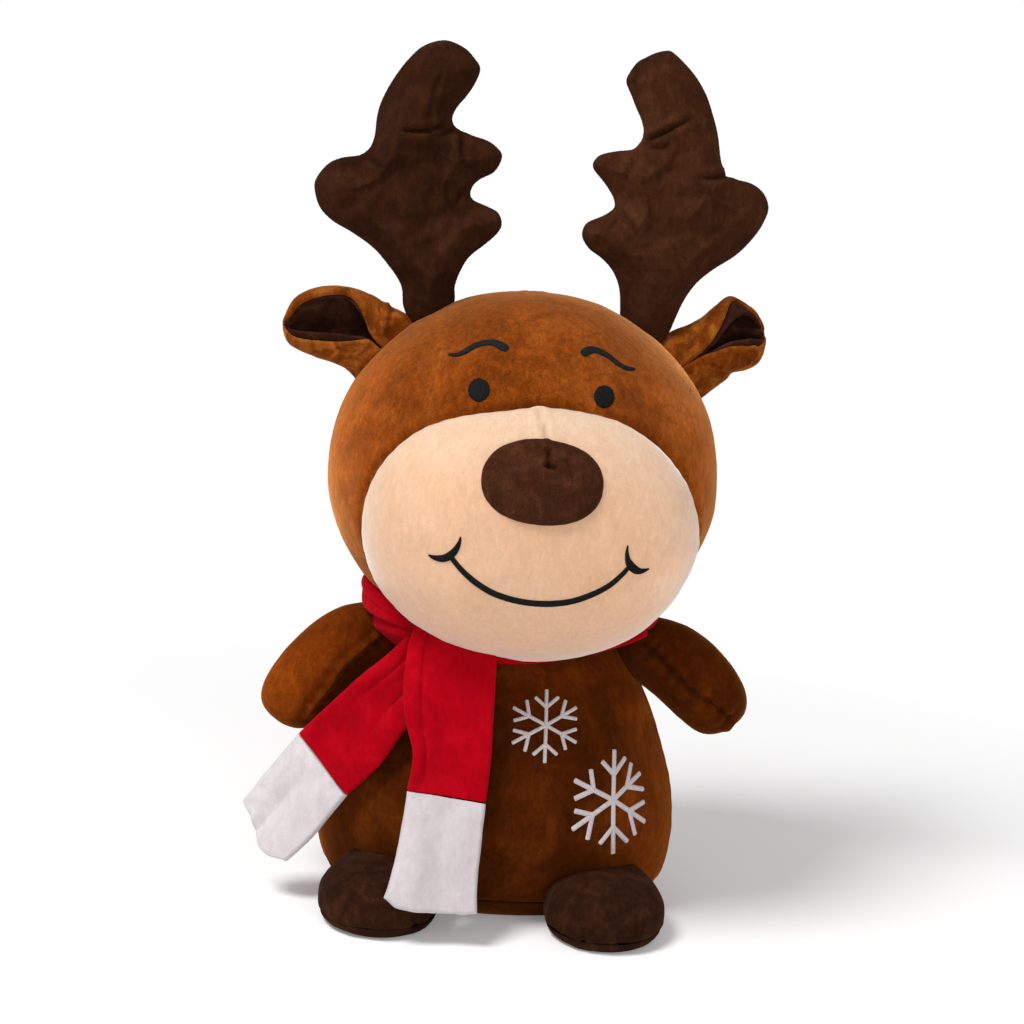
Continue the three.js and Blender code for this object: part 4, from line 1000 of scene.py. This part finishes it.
# Outlines in x and z as the photograph shows them on the plane of the neck, once round from the root.
ANTLERS = {
    "left": [
        (-71.2, 322.1), (-72.9, 331.8), (-75.9, 338.1), (-85.2, 349.4), (-92.1, 355.5), (-102.1, 361.8),
        (-112.7, 367.6), (-119.6, 374.7), (-122.7, 384.7), (-121.4, 390.6), (-115.8, 397.9),
        (-108.5, 401.6), (-98.9, 403.8), (-94.3, 407.8), (-92, 414.8), (-91.3, 423.4), (-89.6, 431.9),
        (-85.4, 442.2), (-78.5, 453.1), (-70.4, 462), (-61.6, 466.3), (-54.2, 466.7), (-45.4, 463.1),
        (-40.3, 458.2), (-36.8, 453.2), (-38.5, 446.2), (-42.8, 438.1), (-47.8, 431.4), (-50.1, 424.9),
        (-47.7, 420.8), (-39.5, 418.2), (-30.2, 415.6), (-23.4, 410.7), (-22.1, 406), (-25.9, 398.3),
        (-33.7, 393.6), (-37.7, 389), (-36.9, 384.3), (-29.1, 381), (-22.4, 377.7), (-19.9, 371.4),
        (-22.2, 365.9), (-28.9, 359.5), (-36.6, 352.6), (-41, 344.7), (-43.7, 335.9), (-43.3, 329.4),
        (-45, 317), (-52, 306), (-62, 306),
    ],
    "right": [
        (45.9, 329.2), (44.5, 340.5), (40.6, 349.4), (34.2, 356.1), (27.4, 360.5), (23.2, 366.1),
        (22.9, 370.9), (25.3, 375.4), (32.6, 379.1), (38.8, 383.2), (39, 387.5), (33.6, 395.7),
        (27.1, 402.8), (25.8, 406.4), (29.2, 411.4), (37.6, 414.1), (46.7, 415.7), (51.2, 419.2),
        (52.5, 424.1), (50.4, 431.3), (46.6, 438.5), (42.8, 446.7), (40.9, 451.3), (43.1, 457.2),
        (47.5, 462.2), (54.7, 466.8), (62.5, 468.9), (66.4, 467), (72.7, 461.7), (78.5, 455.8),
        (84.5, 446.7), (88.5, 436.9), (92, 426.6), (94.6, 414.5), (97.4, 406.7), (102.4, 403.9),
        (112.3, 401.8), (119.2, 396.9), (122.5, 389.1), (120, 380.4), (114.8, 371.5), (106.9, 362.4),
        (94.1, 352.9), (86, 344.8), (80.3, 335.2), (77.1, 326.8), (74.4, 319), (70, 309), (63, 304),
        (53, 307), (47, 317),
    ],
}
ANTLER_HALF_DEPTH = 17.5
ANTLER_SPACING = 2.3
ANTLER_SEEDS = {"left": 91, "right": 101}
# Against the spacing: the height of a row of points, and how far the two rows beside the edge lie in.
ROW_STEP = 0.87
STRIP_STEPS = (0.85, 1.75)
SIM_FRAMES = 26
# How far the stuffing may move a point, in millimetres.
SIM_CAP = 17.0
# Settings of the cloth while the stuffing blows it up.
CLOTH = {
    "quality": 7, "mass": 0.2, "air_damping": 3.0, "tension_stiffness": 14.0, "compression_stiffness": 14.0,
    "shear_stiffness": 6.0, "bending_stiffness": 0.4, "use_pressure": True, "uniform_pressure_force": 5.0,
    "shrink_min": -0.05,
}
# How far the sewn edge draws the cloth along with it, and how firmly the cloth stays.
SEAM_REACH = 12.0
SEAM_HOLD = 0.4


def outline_points(corners, spacing):
    """Evenly spaced points on a smooth closed line through the corners."""
    corners = np.array(corners, float)
    ring = np.concatenate([corners[-2:], corners, corners[:3]])
    count = len(ring) - 1
    fine = spline(ring, np.linspace(2 / count, (len(corners) + 2) / count, 1600))
    run = run_along(fine)
    even = np.linspace(0, run[-1], int(run[-1] / spacing), endpoint=False)
    return np.stack([np.interp(even, run, fine[:, i]) for i in (0, 1)], -1)


def inside(points, ring):
    """Which points lie within a closed line."""
    hit = np.zeros(len(points), bool)
    x, y = points[:, 0], points[:, 1]
    for (x1, y1), (x2, y2) in zip(ring, np.roll(ring, -1, axis=0)):
        crosses = (y1 > y) != (y2 > y)
        hit ^= crosses & (x < (x2 - x1) * (y - y1) / np.where(y2 == y1, 1e-9, y2 - y1) + x1)
    return hit


def pillow(corners, spacing, depth, swell):
    """Two cuts of cloth sewn at their edge, and the numbers of the points on that edge."""
    ring = outline_points(corners, spacing)
    low, high = ring.min(0), ring.max(0)
    lattice = np.array([
        (x, z) for row, z in enumerate(np.arange(low[1], high[1], spacing * ROW_STEP))
        for x in np.arange(low[0] + (row % 2) * spacing / 2, high[0], spacing)
    ])
    border = np.concatenate([ring, ring[:1]])
    along = np.roll(ring, -1, axis=0) - np.roll(ring, 1, axis=0)
    inward = unit(np.stack([-along[:, 1], along[:, 0]], -1))
    if inside(ring + inward * spacing / 2, ring).mean() <= 0.5:
        inward = -inward
    strip = []
    for number, step in enumerate(STRIP_STEPS, 1):
        row = ring + inward * spacing * step
        strip.append(row[nearest_on(border, row)[0] > spacing * 0.8 * number])
    distance, _ = nearest_on(border, lattice)
    lattice = lattice[inside(lattice, ring) & (distance > spacing * 2.4)]
    flat = [Vector(point) for point in np.concatenate([ring, *strip, lattice])]
    around = list(range(len(ring)))
    edges = list(zip(around, around[1:] + around[:1]))
    points, _, triangles, _, _, _ = delaunay_2d_cdt(flat, edges, [around], 1, 1e-5)
    flat = np.array([tuple(point) for point in points])
    distance, _ = nearest_on(border, flat)
    rim = distance < 1e-3
    lift = np.where(rim, 0, swell(distance)) * depth
    front = np.stack([flat[:, 0], -lift, flat[:, 1]], -1)
    back = (front * np.array([1, -1, 1]))[~rim]
    behind = np.arange(len(flat))
    behind[~rim] = len(flat) + np.arange(len(back))
    faces = []
    for a, b, c in triangles:
        (ax, az), (bx, bz), (cx, cz) = flat[a], flat[b], flat[c]
        if (bx - ax) * (cz - az) < (cx - ax) * (bz - az):
            b, c = c, b
        faces += [[a, b, c], [behind[a], behind[c], behind[b]]]
    return np.concatenate([front, back]), faces, np.flatnonzero(rim)


def seam_restored(points, rim, target):
    """Draws the sewn edge back to its outline, and the cloth near it along."""
    moved = (target - points[rim]) * np.array([1, 0, 1])
    away = np.linalg.norm(points[:, None, ::2] - points[rim][None, :, ::2], axis=2)
    weight = bell(away, SEAM_REACH)
    weight[away < 1e-3] = 1e3
    return points + weight @ moved / (weight.sum(1, keepdims=True) + SEAM_HOLD)


def evaluated(piece):
    return piece.evaluated_get(bpy.context.evaluated_depsgraph_get())


def inflate(piece):
    """Blows a sewn piece up as cloth, and keeps the result as its mesh."""
    before = places(piece)
    cloth = piece.modifiers.new("cloth", "CLOTH")
    for name, value in CLOTH.items():
        setattr(cloth.settings, name, value)
    cloth.settings.effector_weights.gravity = 0
    cloth.point_cache.frame_start, cloth.point_cache.frame_end = 1, SIM_FRAMES
    scene = bpy.context.scene
    for number in range(1, SIM_FRAMES + 1):
        scene.frame_set(number)
    moved = vertex_values(evaluated(piece).data, "co") / MM - before
    piece.modifiers.remove(cloth)
    scene.frame_set(1)
    far = np.linalg.norm(moved, axis=1, keepdims=True)
    move_to(piece, before + moved * np.minimum(1, SIM_CAP / np.maximum(far, 1e-6)))


def subdivide(piece):
    piece.modifiers.new("fine", "SUBSURF").levels = 1
    mesh = bpy.data.meshes.new_from_object(evaluated(piece))
    piece.modifiers.clear()
    piece.data = mesh
    mesh.polygons.foreach_set("use_smooth", [True] * len(mesh.polygons))


# Depths and lines of the creases in the photograph: each starts at a notch and runs out across the lobe.
CREASES = {
    "left": [
        (2.6, [(443, 125), (428, 130), (410, 131), (392, 129)]), (1.5, [(456, 128), (440, 135), (425, 136)]),
        (1.7, [(458, 126), (462, 140), (463, 158), (470, 176)]), (1.3, [(471, 182), (462, 192), (455, 210)]),
        (1.4, [(369, 157), (378, 165), (390, 170)]), (1.2, [(470, 184), (482, 196), (498, 204)]),
        (0.8, [(430, 118), (436, 90), (447, 62)]),
    ],
    "right": [
        (2.6, [(646, 142), (664, 133), (682, 123), (700, 116)]), (1.7, [(648, 147), (662, 148), (676, 142)]),
        (2.2, [(727, 176), (714, 177), (702, 178), (690, 180)]),
        (1.6, [(615, 206), (626, 218), (636, 232), (644, 246)]),
        (1.2, [(625, 180), (632, 166), (640, 150)]), (1.0, [(633, 84), (637, 73), (634, 62)]),
        (0.9, [(640, 70), (646, 62), (650, 55)]),
    ],
}


def creased(base, tree, creases):
    """Buckled cloth: a sharp valley with a soft roll on each side, fading to its end."""
    heights = np.zeros(len(base))
    for depth, pixels in creases:
        path = hits(tree, spline(pixels, np.linspace(0, 1, 12)))
        distance, along = nearest_on(path, base)
        share = along / run_along(path)[-1]
        fade = smooth(1.0, 0.55, share) * smooth(-0.1, 0.12, share)
        heights += fade * depth * (0.5 * bell(distance - 3.6, 2.4) - bell(distance, 1.25))
    return heights


def slack_swell(distance):
    """Depth of the two cuts before the stuffing goes in."""
    return 0.35 * np.sqrt(np.clip(distance, 0, 16) / 16)


def make_antler(side):
    corners = [on_head_plane(np.array([x, 0, z]) - CAMERA_PLACE) for x, z in ANTLERS[side]]
    swell = slack_swell
    points, faces, rim = pillow(corners, ANTLER_SPACING, ANTLER_HALF_DEPTH, swell)
    piece = add_object(f"antler_{side}_plush_cover", points, faces, DARK_PLUSH)
    inflate(piece)
    now = seam_restored(places(piece), rim, points[rim])
    now[:, 1] *= ANTLER_HALF_DEPTH / np.abs(now[:, 1]).max()
    move_to(piece, now)
    subdivide(piece)
    move_to(piece, head_turned(places(piece)))
    base = places(piece)
    heights = pile(base, 0.45, 0.06, 0.03, ANTLER_SEEDS[side])
    push(piece, heights + creased(base, tree_from(piece), CREASES[side]))
    return piece


# Ears: a leaf of plush folded round a dark lining, with its mouth to the front

# Rows run from the head to the tip: the ear's two edges in the photograph, the shares between
# them where the brown lips end, how far the lining shows beyond each lip, and the depth.
# The lining's fold has a place across the ear, a height and a width.
EARS = {
    "left": {
        "rows": [
            ((426, 330), (374, 396), 0.50, 0.51, 0.00, 0.00, 6),
            ((407, 314), (359, 382), 0.50, 0.52, 0.00, 0.00, 8),
            ((388, 303), (348, 371), 0.44, 0.50, 0.00, 0.00, 10),
            ((371, 294), (338, 365), 0.24, 0.64, 0.00, 0.06, 12),
            ((349, 287), (326, 360), 0.07, 0.72, 0.00, 0.09, 13),
            ((322, 287), (307, 354), 0.08, 0.78, 0.00, 0.10, 13),
            ((298, 297), (291, 345), 0.11, 0.82, 0.00, 0.10, 10),
            ((285, 317), (284.5, 333), 0.2, 0.8, 0.00, 0.06, 6),
        ],
        "fold": (0.28, 6.5, 0.26),
        "creases": [
            (1.8, [(388, 303), (386, 322), (380, 342)]), (1.0, [(367, 343), (345, 345), (320, 352)]),
            (1.0, [(366, 348), (352, 356), (338, 361)]), (0.8, [(397, 312), (394, 322), (392, 330)]),
        ],
        "seed": 111,
    },
    "right": {
        "rows": [
            ((650, 345), (684, 411), 0.47, 0.48, 0.00, 0.00, 6),
            ((669, 333), (700, 398), 0.46, 0.48, 0.02, 0.00, 8),
            ((686, 325), (712, 389), 0.42, 0.47, 0.04, 0.00, 10),
            ((703, 316), (724, 380), 0.32, 0.52, 0.07, 0.03, 12),
            ((717, 304), (731, 373), 0.20, 0.60, 0.12, 0.05, 13),
            ((730, 296), (745, 370), 0.02, 0.65, 0.20, 0.06, 13),
            ((748, 306), (757, 363), 0.00, 0.68, 0.05, 0.10, 10),
            ((761, 320), (765, 347), 0.03, 0.85, 0.02, 0.10, 5),
        ],
        "fold": (0.47, 6.0, 0.12),
        "creases": [
            (1.0, [(697, 322), (690, 338), (686, 354)]), (1.2, [(754, 348), (757, 355), (753, 363)]),
            (0.9, [(746, 352), (750, 360), (747, 368)]), (0.8, [(712, 362), (722, 368), (728, 374)]),
        ],
        "seed": 121,
    },
}
# Rows from the head to the tip, and columns round, of each layer's mesh.
EAR_MESH = (80, 130)
# Each layer's inset from the ear's outline and its thickness.
EAR_LAYERS = [("outer", 1.4, 2.8, EAR_PLUSH), ("lining", 3.9, 2.2, LINING_PLUSH)]


def ear_sheet(ear, inset, rows, columns, lining):
    """The middle of one layer of an ear, in rows from the head to the tip."""
    s = crowded(rows, 0.6) * (0.975 if lining else 0.998)
    upper = spline([on_head_plane(ray(*row[0])) for row in ear["rows"]], s)
    lower = spline([on_head_plane(ray(*row[1])) for row in ear["rows"]], s)
    top, bottom, top_lap, bottom_lap, depth = spline([row[2:] for row in ear["rows"]], s).T
    if lining:
        top, bottom = top + top_lap, bottom - bottom_lap
    middle, reach = (upper + lower) / 2, (upper - lower) / 2
    size = np.linalg.norm(reach, axis=1)
    tip = np.sqrt(1 - np.clip((s - 0.9) / 0.1, 0, 1) ** 2)
    shrink = np.maximum(size - inset, 0.8) / size * tip
    start = np.arcsin(np.clip(1 - 2 * top, -1, 1))
    end = math.tau + np.arcsin(np.clip(1 - 2 * bottom, -1, 1))
    angle = start[:, None] + (end - start)[:, None] * crowded(columns, 0.35)
    up = np.sin(angle) * shrink[:, None]
    row = s[:, None]
    lift = 0
    if lining:
        place, height, width = ear["fold"]
        fold = bell((1 - np.sin(angle)) / 2 - place, width)
        lift = height * fold * smooth(0.3, 0.55, row) * (np.cos(angle) < 0)
    wave = 0.9 * np.sin(angle * 5 + 4 * row) * bell(row, 0.3)
    y = -np.cos(angle) * (np.maximum(depth - inset, 0.8) * tip)[:, None] - lift * tip[:, None] + wave
    return np.stack([middle[:, :1] + reach[:, :1] * up, y, middle[:, 1:] + reach[:, 1:] * up], -1)


def make_ear(side):
    ear = EARS[side]
    made = []
    for name, inset, thickness, material in EAR_LAYERS:
        middle = head_turned(ear_sheet(ear, inset, *EAR_MESH, name == "lining"))
        mesh = sheet_mesh(middle, thickness)
        piece, base = formed(f"ear_{side}_plush_{name}", mesh, material)
        heights = pile(base, 0.5, 0.25, 0.1, ear["seed"])
        if name == "outer":
            heights += creased(base, tree_of(*mesh), ear["creases"])
        push(piece, heights)
        made.append((piece, f"ear_{side}_{name}"))
    return made


# Scarf

# The wrap is a ring round the neck that dips and thins at the front and rises and thins at the right.
WRAP = {
    "radius": 69, "level": 157.7, "half_height": 22, "half_thickness": 9, "depth_share": 0.84,
    "front_dip": 7.5, "front_slim": 0.72, "right_rise": 5.5, "right_slim": 0.38, "left_swell": 2.2,
    "flare": math.radians(58),
}
# The wrap's grooves: share of the way down, depth, width and sway.
WRAP_GROOVES = [(0.36, 2.6, 0.1, 0.12), (0.62, 1.8, 0.08, -0.16), (0.16, 1.4, 0.07, 0.1)]
WRAP_MESH = (420, 110)
SCARF_WIDTH = 45
SCARF_THICKNESS = 4
END_PADDING = 1.6
TAIL_COLUMNS = 48
TAIL_ROWS = {"red": 76, "white": 56}
# Where the front tail starts and ends its bend as it lifts, in metres. Nothing here bends the tail: these only
# mark it to stay where it stands, not attached to its body.
TAIL_BEND = ((-0.03, -0.0715, 0.149), (-0.03, -0.0755, 0.118))
# Rows down each tail: its two edges in the photograph and how far each lies before the neck.
TAILS = {
    ("front", "red"): [
        ((416, 622), (494, 636), 64, 68), ((408, 645), (496, 658), 69, 72), ((404, 690), (495, 690), 76, 76),
        ((407, 723), (493, 722), 79, 79), ((413, 754), (491, 760), 82, 82), ((407, 790), (486, 803), 85, 85),
    ],
    ("front", "white"): [
        ((407, 791), (486, 804), 85, 85), ((401, 830), (482, 840), 91, 90), ((392, 872), (478, 880), 102, 99),
        ((384, 898), (477, 913), 107, 104),
    ],
    ("side", "red"): [
        ((410, 634), (446, 680), 58, 68), ((388, 655), (428, 709), 58, 70), ((358, 680), (405, 733), 54, 68),
        ((329, 706), (380, 766), 48, 64), ((300, 732), (348, 795), 41, 58),
    ],
    ("side", "white"): [
        ((299, 733), (347, 796), 41, 58), ((282, 753), (331, 816), 39, 55), ((262, 777), (311, 840), 37, 52),
        ((243, 800), (287, 862), 36, 50),
    ],
}
# How far the hem of each white end bulges beyond a straight line, in millimetres.
HEMS = {"front": [0, 4.6, 4.8, 3.8, 2.6, 2.8, 0], "side": [0, 1.2, 3.5, 6.5, 8.5, 5.5, 0]}
TAIL_SEEDS = {"front": 141, "side": 151}


def make_wrap():
    turn = circle(WRAP_MESH[0])
    angle = circle(WRAP_MESH[1])
    to_front = np.maximum(0, -np.sin(turn)) ** 2
    to_left = np.maximum(0, -np.cos(turn)) ** 2
    to_right = np.maximum(0, np.cos(turn + 0.5)) ** 2
    middle = WRAP["level"] - WRAP["front_dip"] * to_front + WRAP["right_rise"] * to_right
    tall = WRAP["half_height"] * (1 - WRAP["front_slim"] * to_front) * (1 - WRAP["right_slim"] * to_right)
    out = WRAP["half_thickness"] * np.sin(angle) * np.ones((len(turn), 1))
    for share, depth, width, sway in WRAP_GROOVES:
        off = angle - math.pi * (share + sway * np.sin(2 * turn + 5 * share))[:, None]
        out += depth * (0.45 * bell(off - 0.3, 0.2) + 0.45 * bell(off + 0.3, 0.2) - bell(off, width))
    along = tall[:, None] * np.cos(angle) * 0.97
    up, flat = math.sin(WRAP["flare"]), math.cos(WRAP["flare"])
    radius = WRAP["radius"] + WRAP["left_swell"] * to_left[:, None] + along * flat + out * up
    x = radius * np.cos(turn)[:, None]
    y = HEAD_BACKSET + WRAP["depth_share"] * radius * np.sin(turn)[:, None]
    rings = np.stack([x, y, middle[:, None] + along * up - out * flat], -1)
    rows, columns = WRAP_MESH
    faces = grid_faces(rows + 1, columns, True) % (rows * columns)
    piece, base = formed("scarf_fleece_wrap", (rings.reshape(-1, 3), faces), RED_FLEECE)
    push(piece, pile(base, 0.5, 0.1, 0.05, 131))
    return piece


def before_neck(pixel, depth):
    """A pixel's place on the upright plane that lies so far before the neck."""
    way = np.array(ray(*pixel))
    return CAMERA_PLACE + way * (-depth - CAMERA_PLACE[1]) / way[1]


def tail_grid(rows, count, columns, folds, seed):
    """The middle of a length of scarf between its two edges, and the shares down and across it."""
    t = crowded(count, 0.3)
    one = spline([before_neck(left, depth) for left, _, depth, _ in rows], t)
    other = spline([before_neck(right, depth) for _, right, _, depth in rows], t)
    v = crowded(columns, 0.4)
    grid = one[:, None] + (other - one)[:, None] * v[None, :, None]
    normal = unit(np.cross(np.gradient(grid, axis=1), np.gradient(grid, axis=0)))
    normal *= np.sign(-normal[..., 1:2])
    soft = 1.3 * noise(grid.reshape(-1, 3), 26, seed) + 0.6 * noise(grid.reshape(-1, 3), 12, seed + 1)
    rise = folds(t[:, None], v[None]) + soft.reshape(grid.shape[:2])
    return grid + normal * rise[..., None], t, v


def make_tail(name):
    seed = TAIL_SEEDS[name]
    made = []
    for part, material, node in (("red", RED_FLEECE, "tail"), ("white", WHITE_FLEECE, "end")):
        white = part == "white"
        key = name, part
        middle, t, v = tail_grid(TAILS[key], TAIL_ROWS[part], TAIL_COLUMNS, FOLDS[key], seed)
        if white:
            edge = np.stack([v * SCARF_WIDTH, v * 0, v * 0 + seed], -1)
            hem = spline(np.reshape(HEMS[name], (-1, 1)), v)[:, 0] + 0.7 * noise(edge, 5, seed)
            middle += (smooth(0.55, 1.0, t)[:, None] * hem)[..., None] * unit(middle[-1] - middle[-4])
        mesh = sheet_mesh(middle, SCARF_THICKNESS + END_PADDING * white, not white, white)
        piece = add_object(f"scarf_{name}_fleece_{part}", *mesh, material)
        subdivide(piece)
        push(piece, pile(places(piece), 0.5, 0.14, 0.06, seed))
        made.append((piece, f"scarf_{name}_{node}"))
    return made


def front_folds(t, v):
    """A flap folded over along one edge, with its fold as a groove."""
    fold = 0.2 - 0.07 * t
    waves = 1.3 * np.sin(v * 7.4 + 1.2 * t) * smooth(0.0, 0.4, t)
    flap = 2.0 * smooth(fold + 0.01, fold - 0.04, v) * smooth(0.1, 0.4, t) - 1.8 * bell(v - fold, 0.03)
    return (flap + waves) * smooth(1.0, 0.86, t)


def side_folds(t, v):
    """Two folds that run down from the knot and fade."""
    waves = 2.0 * np.sin(v * 7.4 + 0.8 + 1.4 * t)
    one = 1.8 * bell(v - 0.55 - 0.15 * t, 0.06) * smooth(1.0, 0.4, t)
    two = 1.3 * bell(v - 0.25 + 0.1 * t, 0.05) * smooth(0.8, 0.2, t)
    return (waves - one - two) * smooth(1.0, 0.8, t)


def front_end_folds(t, v):
    """Two pads with a shallow groove between them."""
    padding = 2.4 * bell(v - 0.25, 0.2) * bell(t - 0.6, 0.4) + 1.8 * bell(v - 0.75, 0.18) * bell(t - 0.5, 0.4)
    return (padding - 1.0 * bell(v - 0.5 - 0.1 * t, 0.12)) * smooth(0.0, 0.2, t)


def side_end_folds(t, v):
    """A large and a small pad with a groove between them that deepens towards the hem."""
    padding = 2.8 * bell(v - 0.7, 0.25) * bell(t - 0.7, 0.45) + 1.6 * bell(v - 0.2, 0.18)
    return (padding - 1.6 * bell(v - 0.42, 0.1) * smooth(0.1, 0.5, t)) * smooth(0.0, 0.2, t)


FOLDS = {
    ("front", "red"): front_folds, ("front", "white"): front_end_folds,
    ("side", "red"): side_folds, ("side", "white"): side_end_folds,
}

# Snowflakes

# Each arm's tip, then its two barbs' tips.
FLAKES = {
    "small": {
        "middle": (546, 725.3), "width": 2.1,
        "arms": [
            ((546.7, 689.3), (535, 697), (558.7, 697)), ((576.7, 707.3), (565.7, 700), (577, 719)),
            ((576.7, 742.7), (576.7, 729), (565.7, 750)), ((544.7, 763.3), (532.7, 755), (557.3, 755)),
            ((511.7, 743.3), (512.7, 730), (524.7, 751.7)), ((512.7, 707.3), (526.7, 700), (513.3, 720.7)),
        ],
    },
    "large": {
        "middle": (613.3, 800), "width": 2.9,
        "arms": [
            ((614.3, 749), (601.7, 761), (625.3, 757.3)), ((640, 772.7), (631, 762.7), (643.3, 789)),
            ((645, 821.7), (644, 801.7), (635, 835)), ((613, 854), (599.3, 844.3), (627.3, 841.7)),
            ((571.7, 830), (574, 810.7), (587.3, 840)), ((574, 780), (590.7, 769), (574, 799)),
        ],
    },
}
# Where the barbs start along an arm, as a share.
BARB_SHARE = 0.5


def make_flake(size):
    flake = FLAKES[size]
    middle = np.array(flake["middle"])
    strokes = []
    for tip, *barbs in flake["arms"]:
        root = middle + BARB_SHARE * (np.array(tip) - middle)
        strokes += [[root, (root + np.array(barb)) / 2, barb] for barb in barbs]
        strokes.append([middle, root, tip])
    parts = [satin(torso_tree, stroke, flake["width"], 0.9, 1.1, 3.0) for stroke in strokes]
    return add_object(f"snowflake_{size}_stitching", *joined(parts), PALE_THREAD)


# Floor and light

WHITE = (1, 1, 1, 1)
FLOOR_COLOUR = (0.96, 0.95, 0.95, 1)
FLOOR_REACH = 3000
FLOOR_GLOW = 0.14
# The floor turns white between these distances from the object, in metres.
FLOOR_FADE = (0.3, 0.6)
WORLD_LIGHT = 0.36
# Place, target, size and power of each lamp, in metres and watts.
LAMPS = {
    "key": ((-0.85, -0.75, 1.85), (0, 0, 0.2), 0.75, 32),
    "fill": ((0.9, -1.8, 0.8), (0, 0, 0.22), 1.6, 12),
}


def add_floor():
    material = bpy.data.materials.new("floor")
    material.use_nodes = True
    tree = material.node_tree
    tree.nodes.clear()
    place = add_node(tree, "ShaderNodeTexCoord", {}).outputs["Object"]
    away = add_node(tree, "ShaderNodeVectorMath", {0: place}, operation="LENGTH").outputs["Value"]
    seen = add_node(tree, "ShaderNodeLightPath", {}).outputs["Is Camera Ray"]
    cloth = add_node(tree, "ShaderNodeBsdfDiffuse", {"Color": FLOOR_COLOUR}).outputs["BSDF"]
    strength = math_node(tree, "MULTIPLY", seen, FLOOR_GLOW)
    glow = add_node(tree, "ShaderNodeEmission", {"Color": WHITE, "Strength": strength}).outputs["Emission"]
    lit = add_node(tree, "ShaderNodeAddShader", {0: cloth, 1: glow}).outputs["Shader"]
    white = add_node(tree, "ShaderNodeEmission", {"Color": WHITE}).outputs["Emission"]
    far = math_node(tree, "MULTIPLY", share_node(tree, away, *FLOOR_FADE), seen)
    mix = add_node(tree, "ShaderNodeMixShader", {"Fac": far, 1: lit, 2: white}).outputs["Shader"]
    add_node(tree, "ShaderNodeOutputMaterial", {"Surface": mix})
    corners = [(x * FLOOR_REACH, y * FLOOR_REACH, 0) for x, y in ((-1, -1), (1, -1), (1, 1), (-1, 1))]
    floor = add_object("floor", corners, [(0, 1, 2, 3)], material)


def add_lamp(name, place, target, size, power):
    data = bpy.data.lights.new(name, "AREA")
    data.shape = "DISK"
    data.size = size
    data.energy = power
    lamp = bpy.data.objects.new(name, data)
    bpy.context.scene.collection.objects.link(lamp)
    lamp.location = place
    lamp.rotation_euler = (Vector(target) - Vector(place)).to_track_quat("-Z", "Y").to_euler()


def add_light():
    world = bpy.data.worlds.new("world")
    bpy.context.scene.world = world
    world.use_nodes = True
    tree = world.node_tree
    rays = add_node(tree, "ShaderNodeLightPath", {}).outputs
    seen = math_node(tree, "MAXIMUM", rays["Is Camera Ray"], rays["Is Glossy Ray"])
    strength = add_node(tree, "ShaderNodeMapRange", {"Value": seen, "To Min": WORLD_LIGHT, "To Max": 1.0})
    set_inputs(tree, tree.nodes["Background"], {"Color": WHITE, "Strength": strength.outputs["Result"]})
    for name, lamp in LAMPS.items():
        add_lamp(name, *lamp)
    bpy.context.scene.view_settings.view_transform = "Standard"


# Assembly

def stand_for(piece, node, body, bend=None):
    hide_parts(node)
    if bend:
        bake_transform(piece)
    else:
        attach(piece, body)


stand_for(head, "head_cover", "head")
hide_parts("head_filling")
stand_for(muzzle, "muzzle_panel", "head")
for piece, node, slot in face_pieces:
    stand_for(piece, node, "head")
stand_for(torso, "torso_cover", "torso")
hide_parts("torso_filling")
stand_for(base_panel, "base_panel", "torso")
for side in ("left", "right"):
    for piece, node in make_foot(side):
        stand_for(piece, node, "torso")
        if node.endswith("upper"):
            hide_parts(f"foot_{side}_filling")
    arm = make_arm(side)
    stand_for(arm, f"arm_{side}_cover", f"arm_{side}")
    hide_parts(f"arm_{side}_filling")
    antler = make_antler(side)
    stand_for(antler, f"antler_{side}_cover", f"antler_{side}")
    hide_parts(f"antler_{side}_filling")
    for piece, node in make_ear(side):
        stand_for(piece, node, f"ear_{side}")
wrap = make_wrap()
stand_for(wrap, "scarf_wrap", "torso")
for name in TAIL_SEEDS:
    for piece, node in make_tail(name):
        bend = TAIL_BEND if node == "scarf_front_tail" else None
        stand_for(piece, node, f"scarf_{name}", bend=bend)
for size in FLAKES:
    stand_for(make_flake(size), f"snowflake_{size}", "torso")

for name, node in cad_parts.items():
    if name.endswith("_filling") or name == "pellet_bag":
        node.data.materials.clear()
        node.data.materials.append(CALICO if name == "pellet_bag" else FIBRE)

add_floor()
add_light()
add_camera()
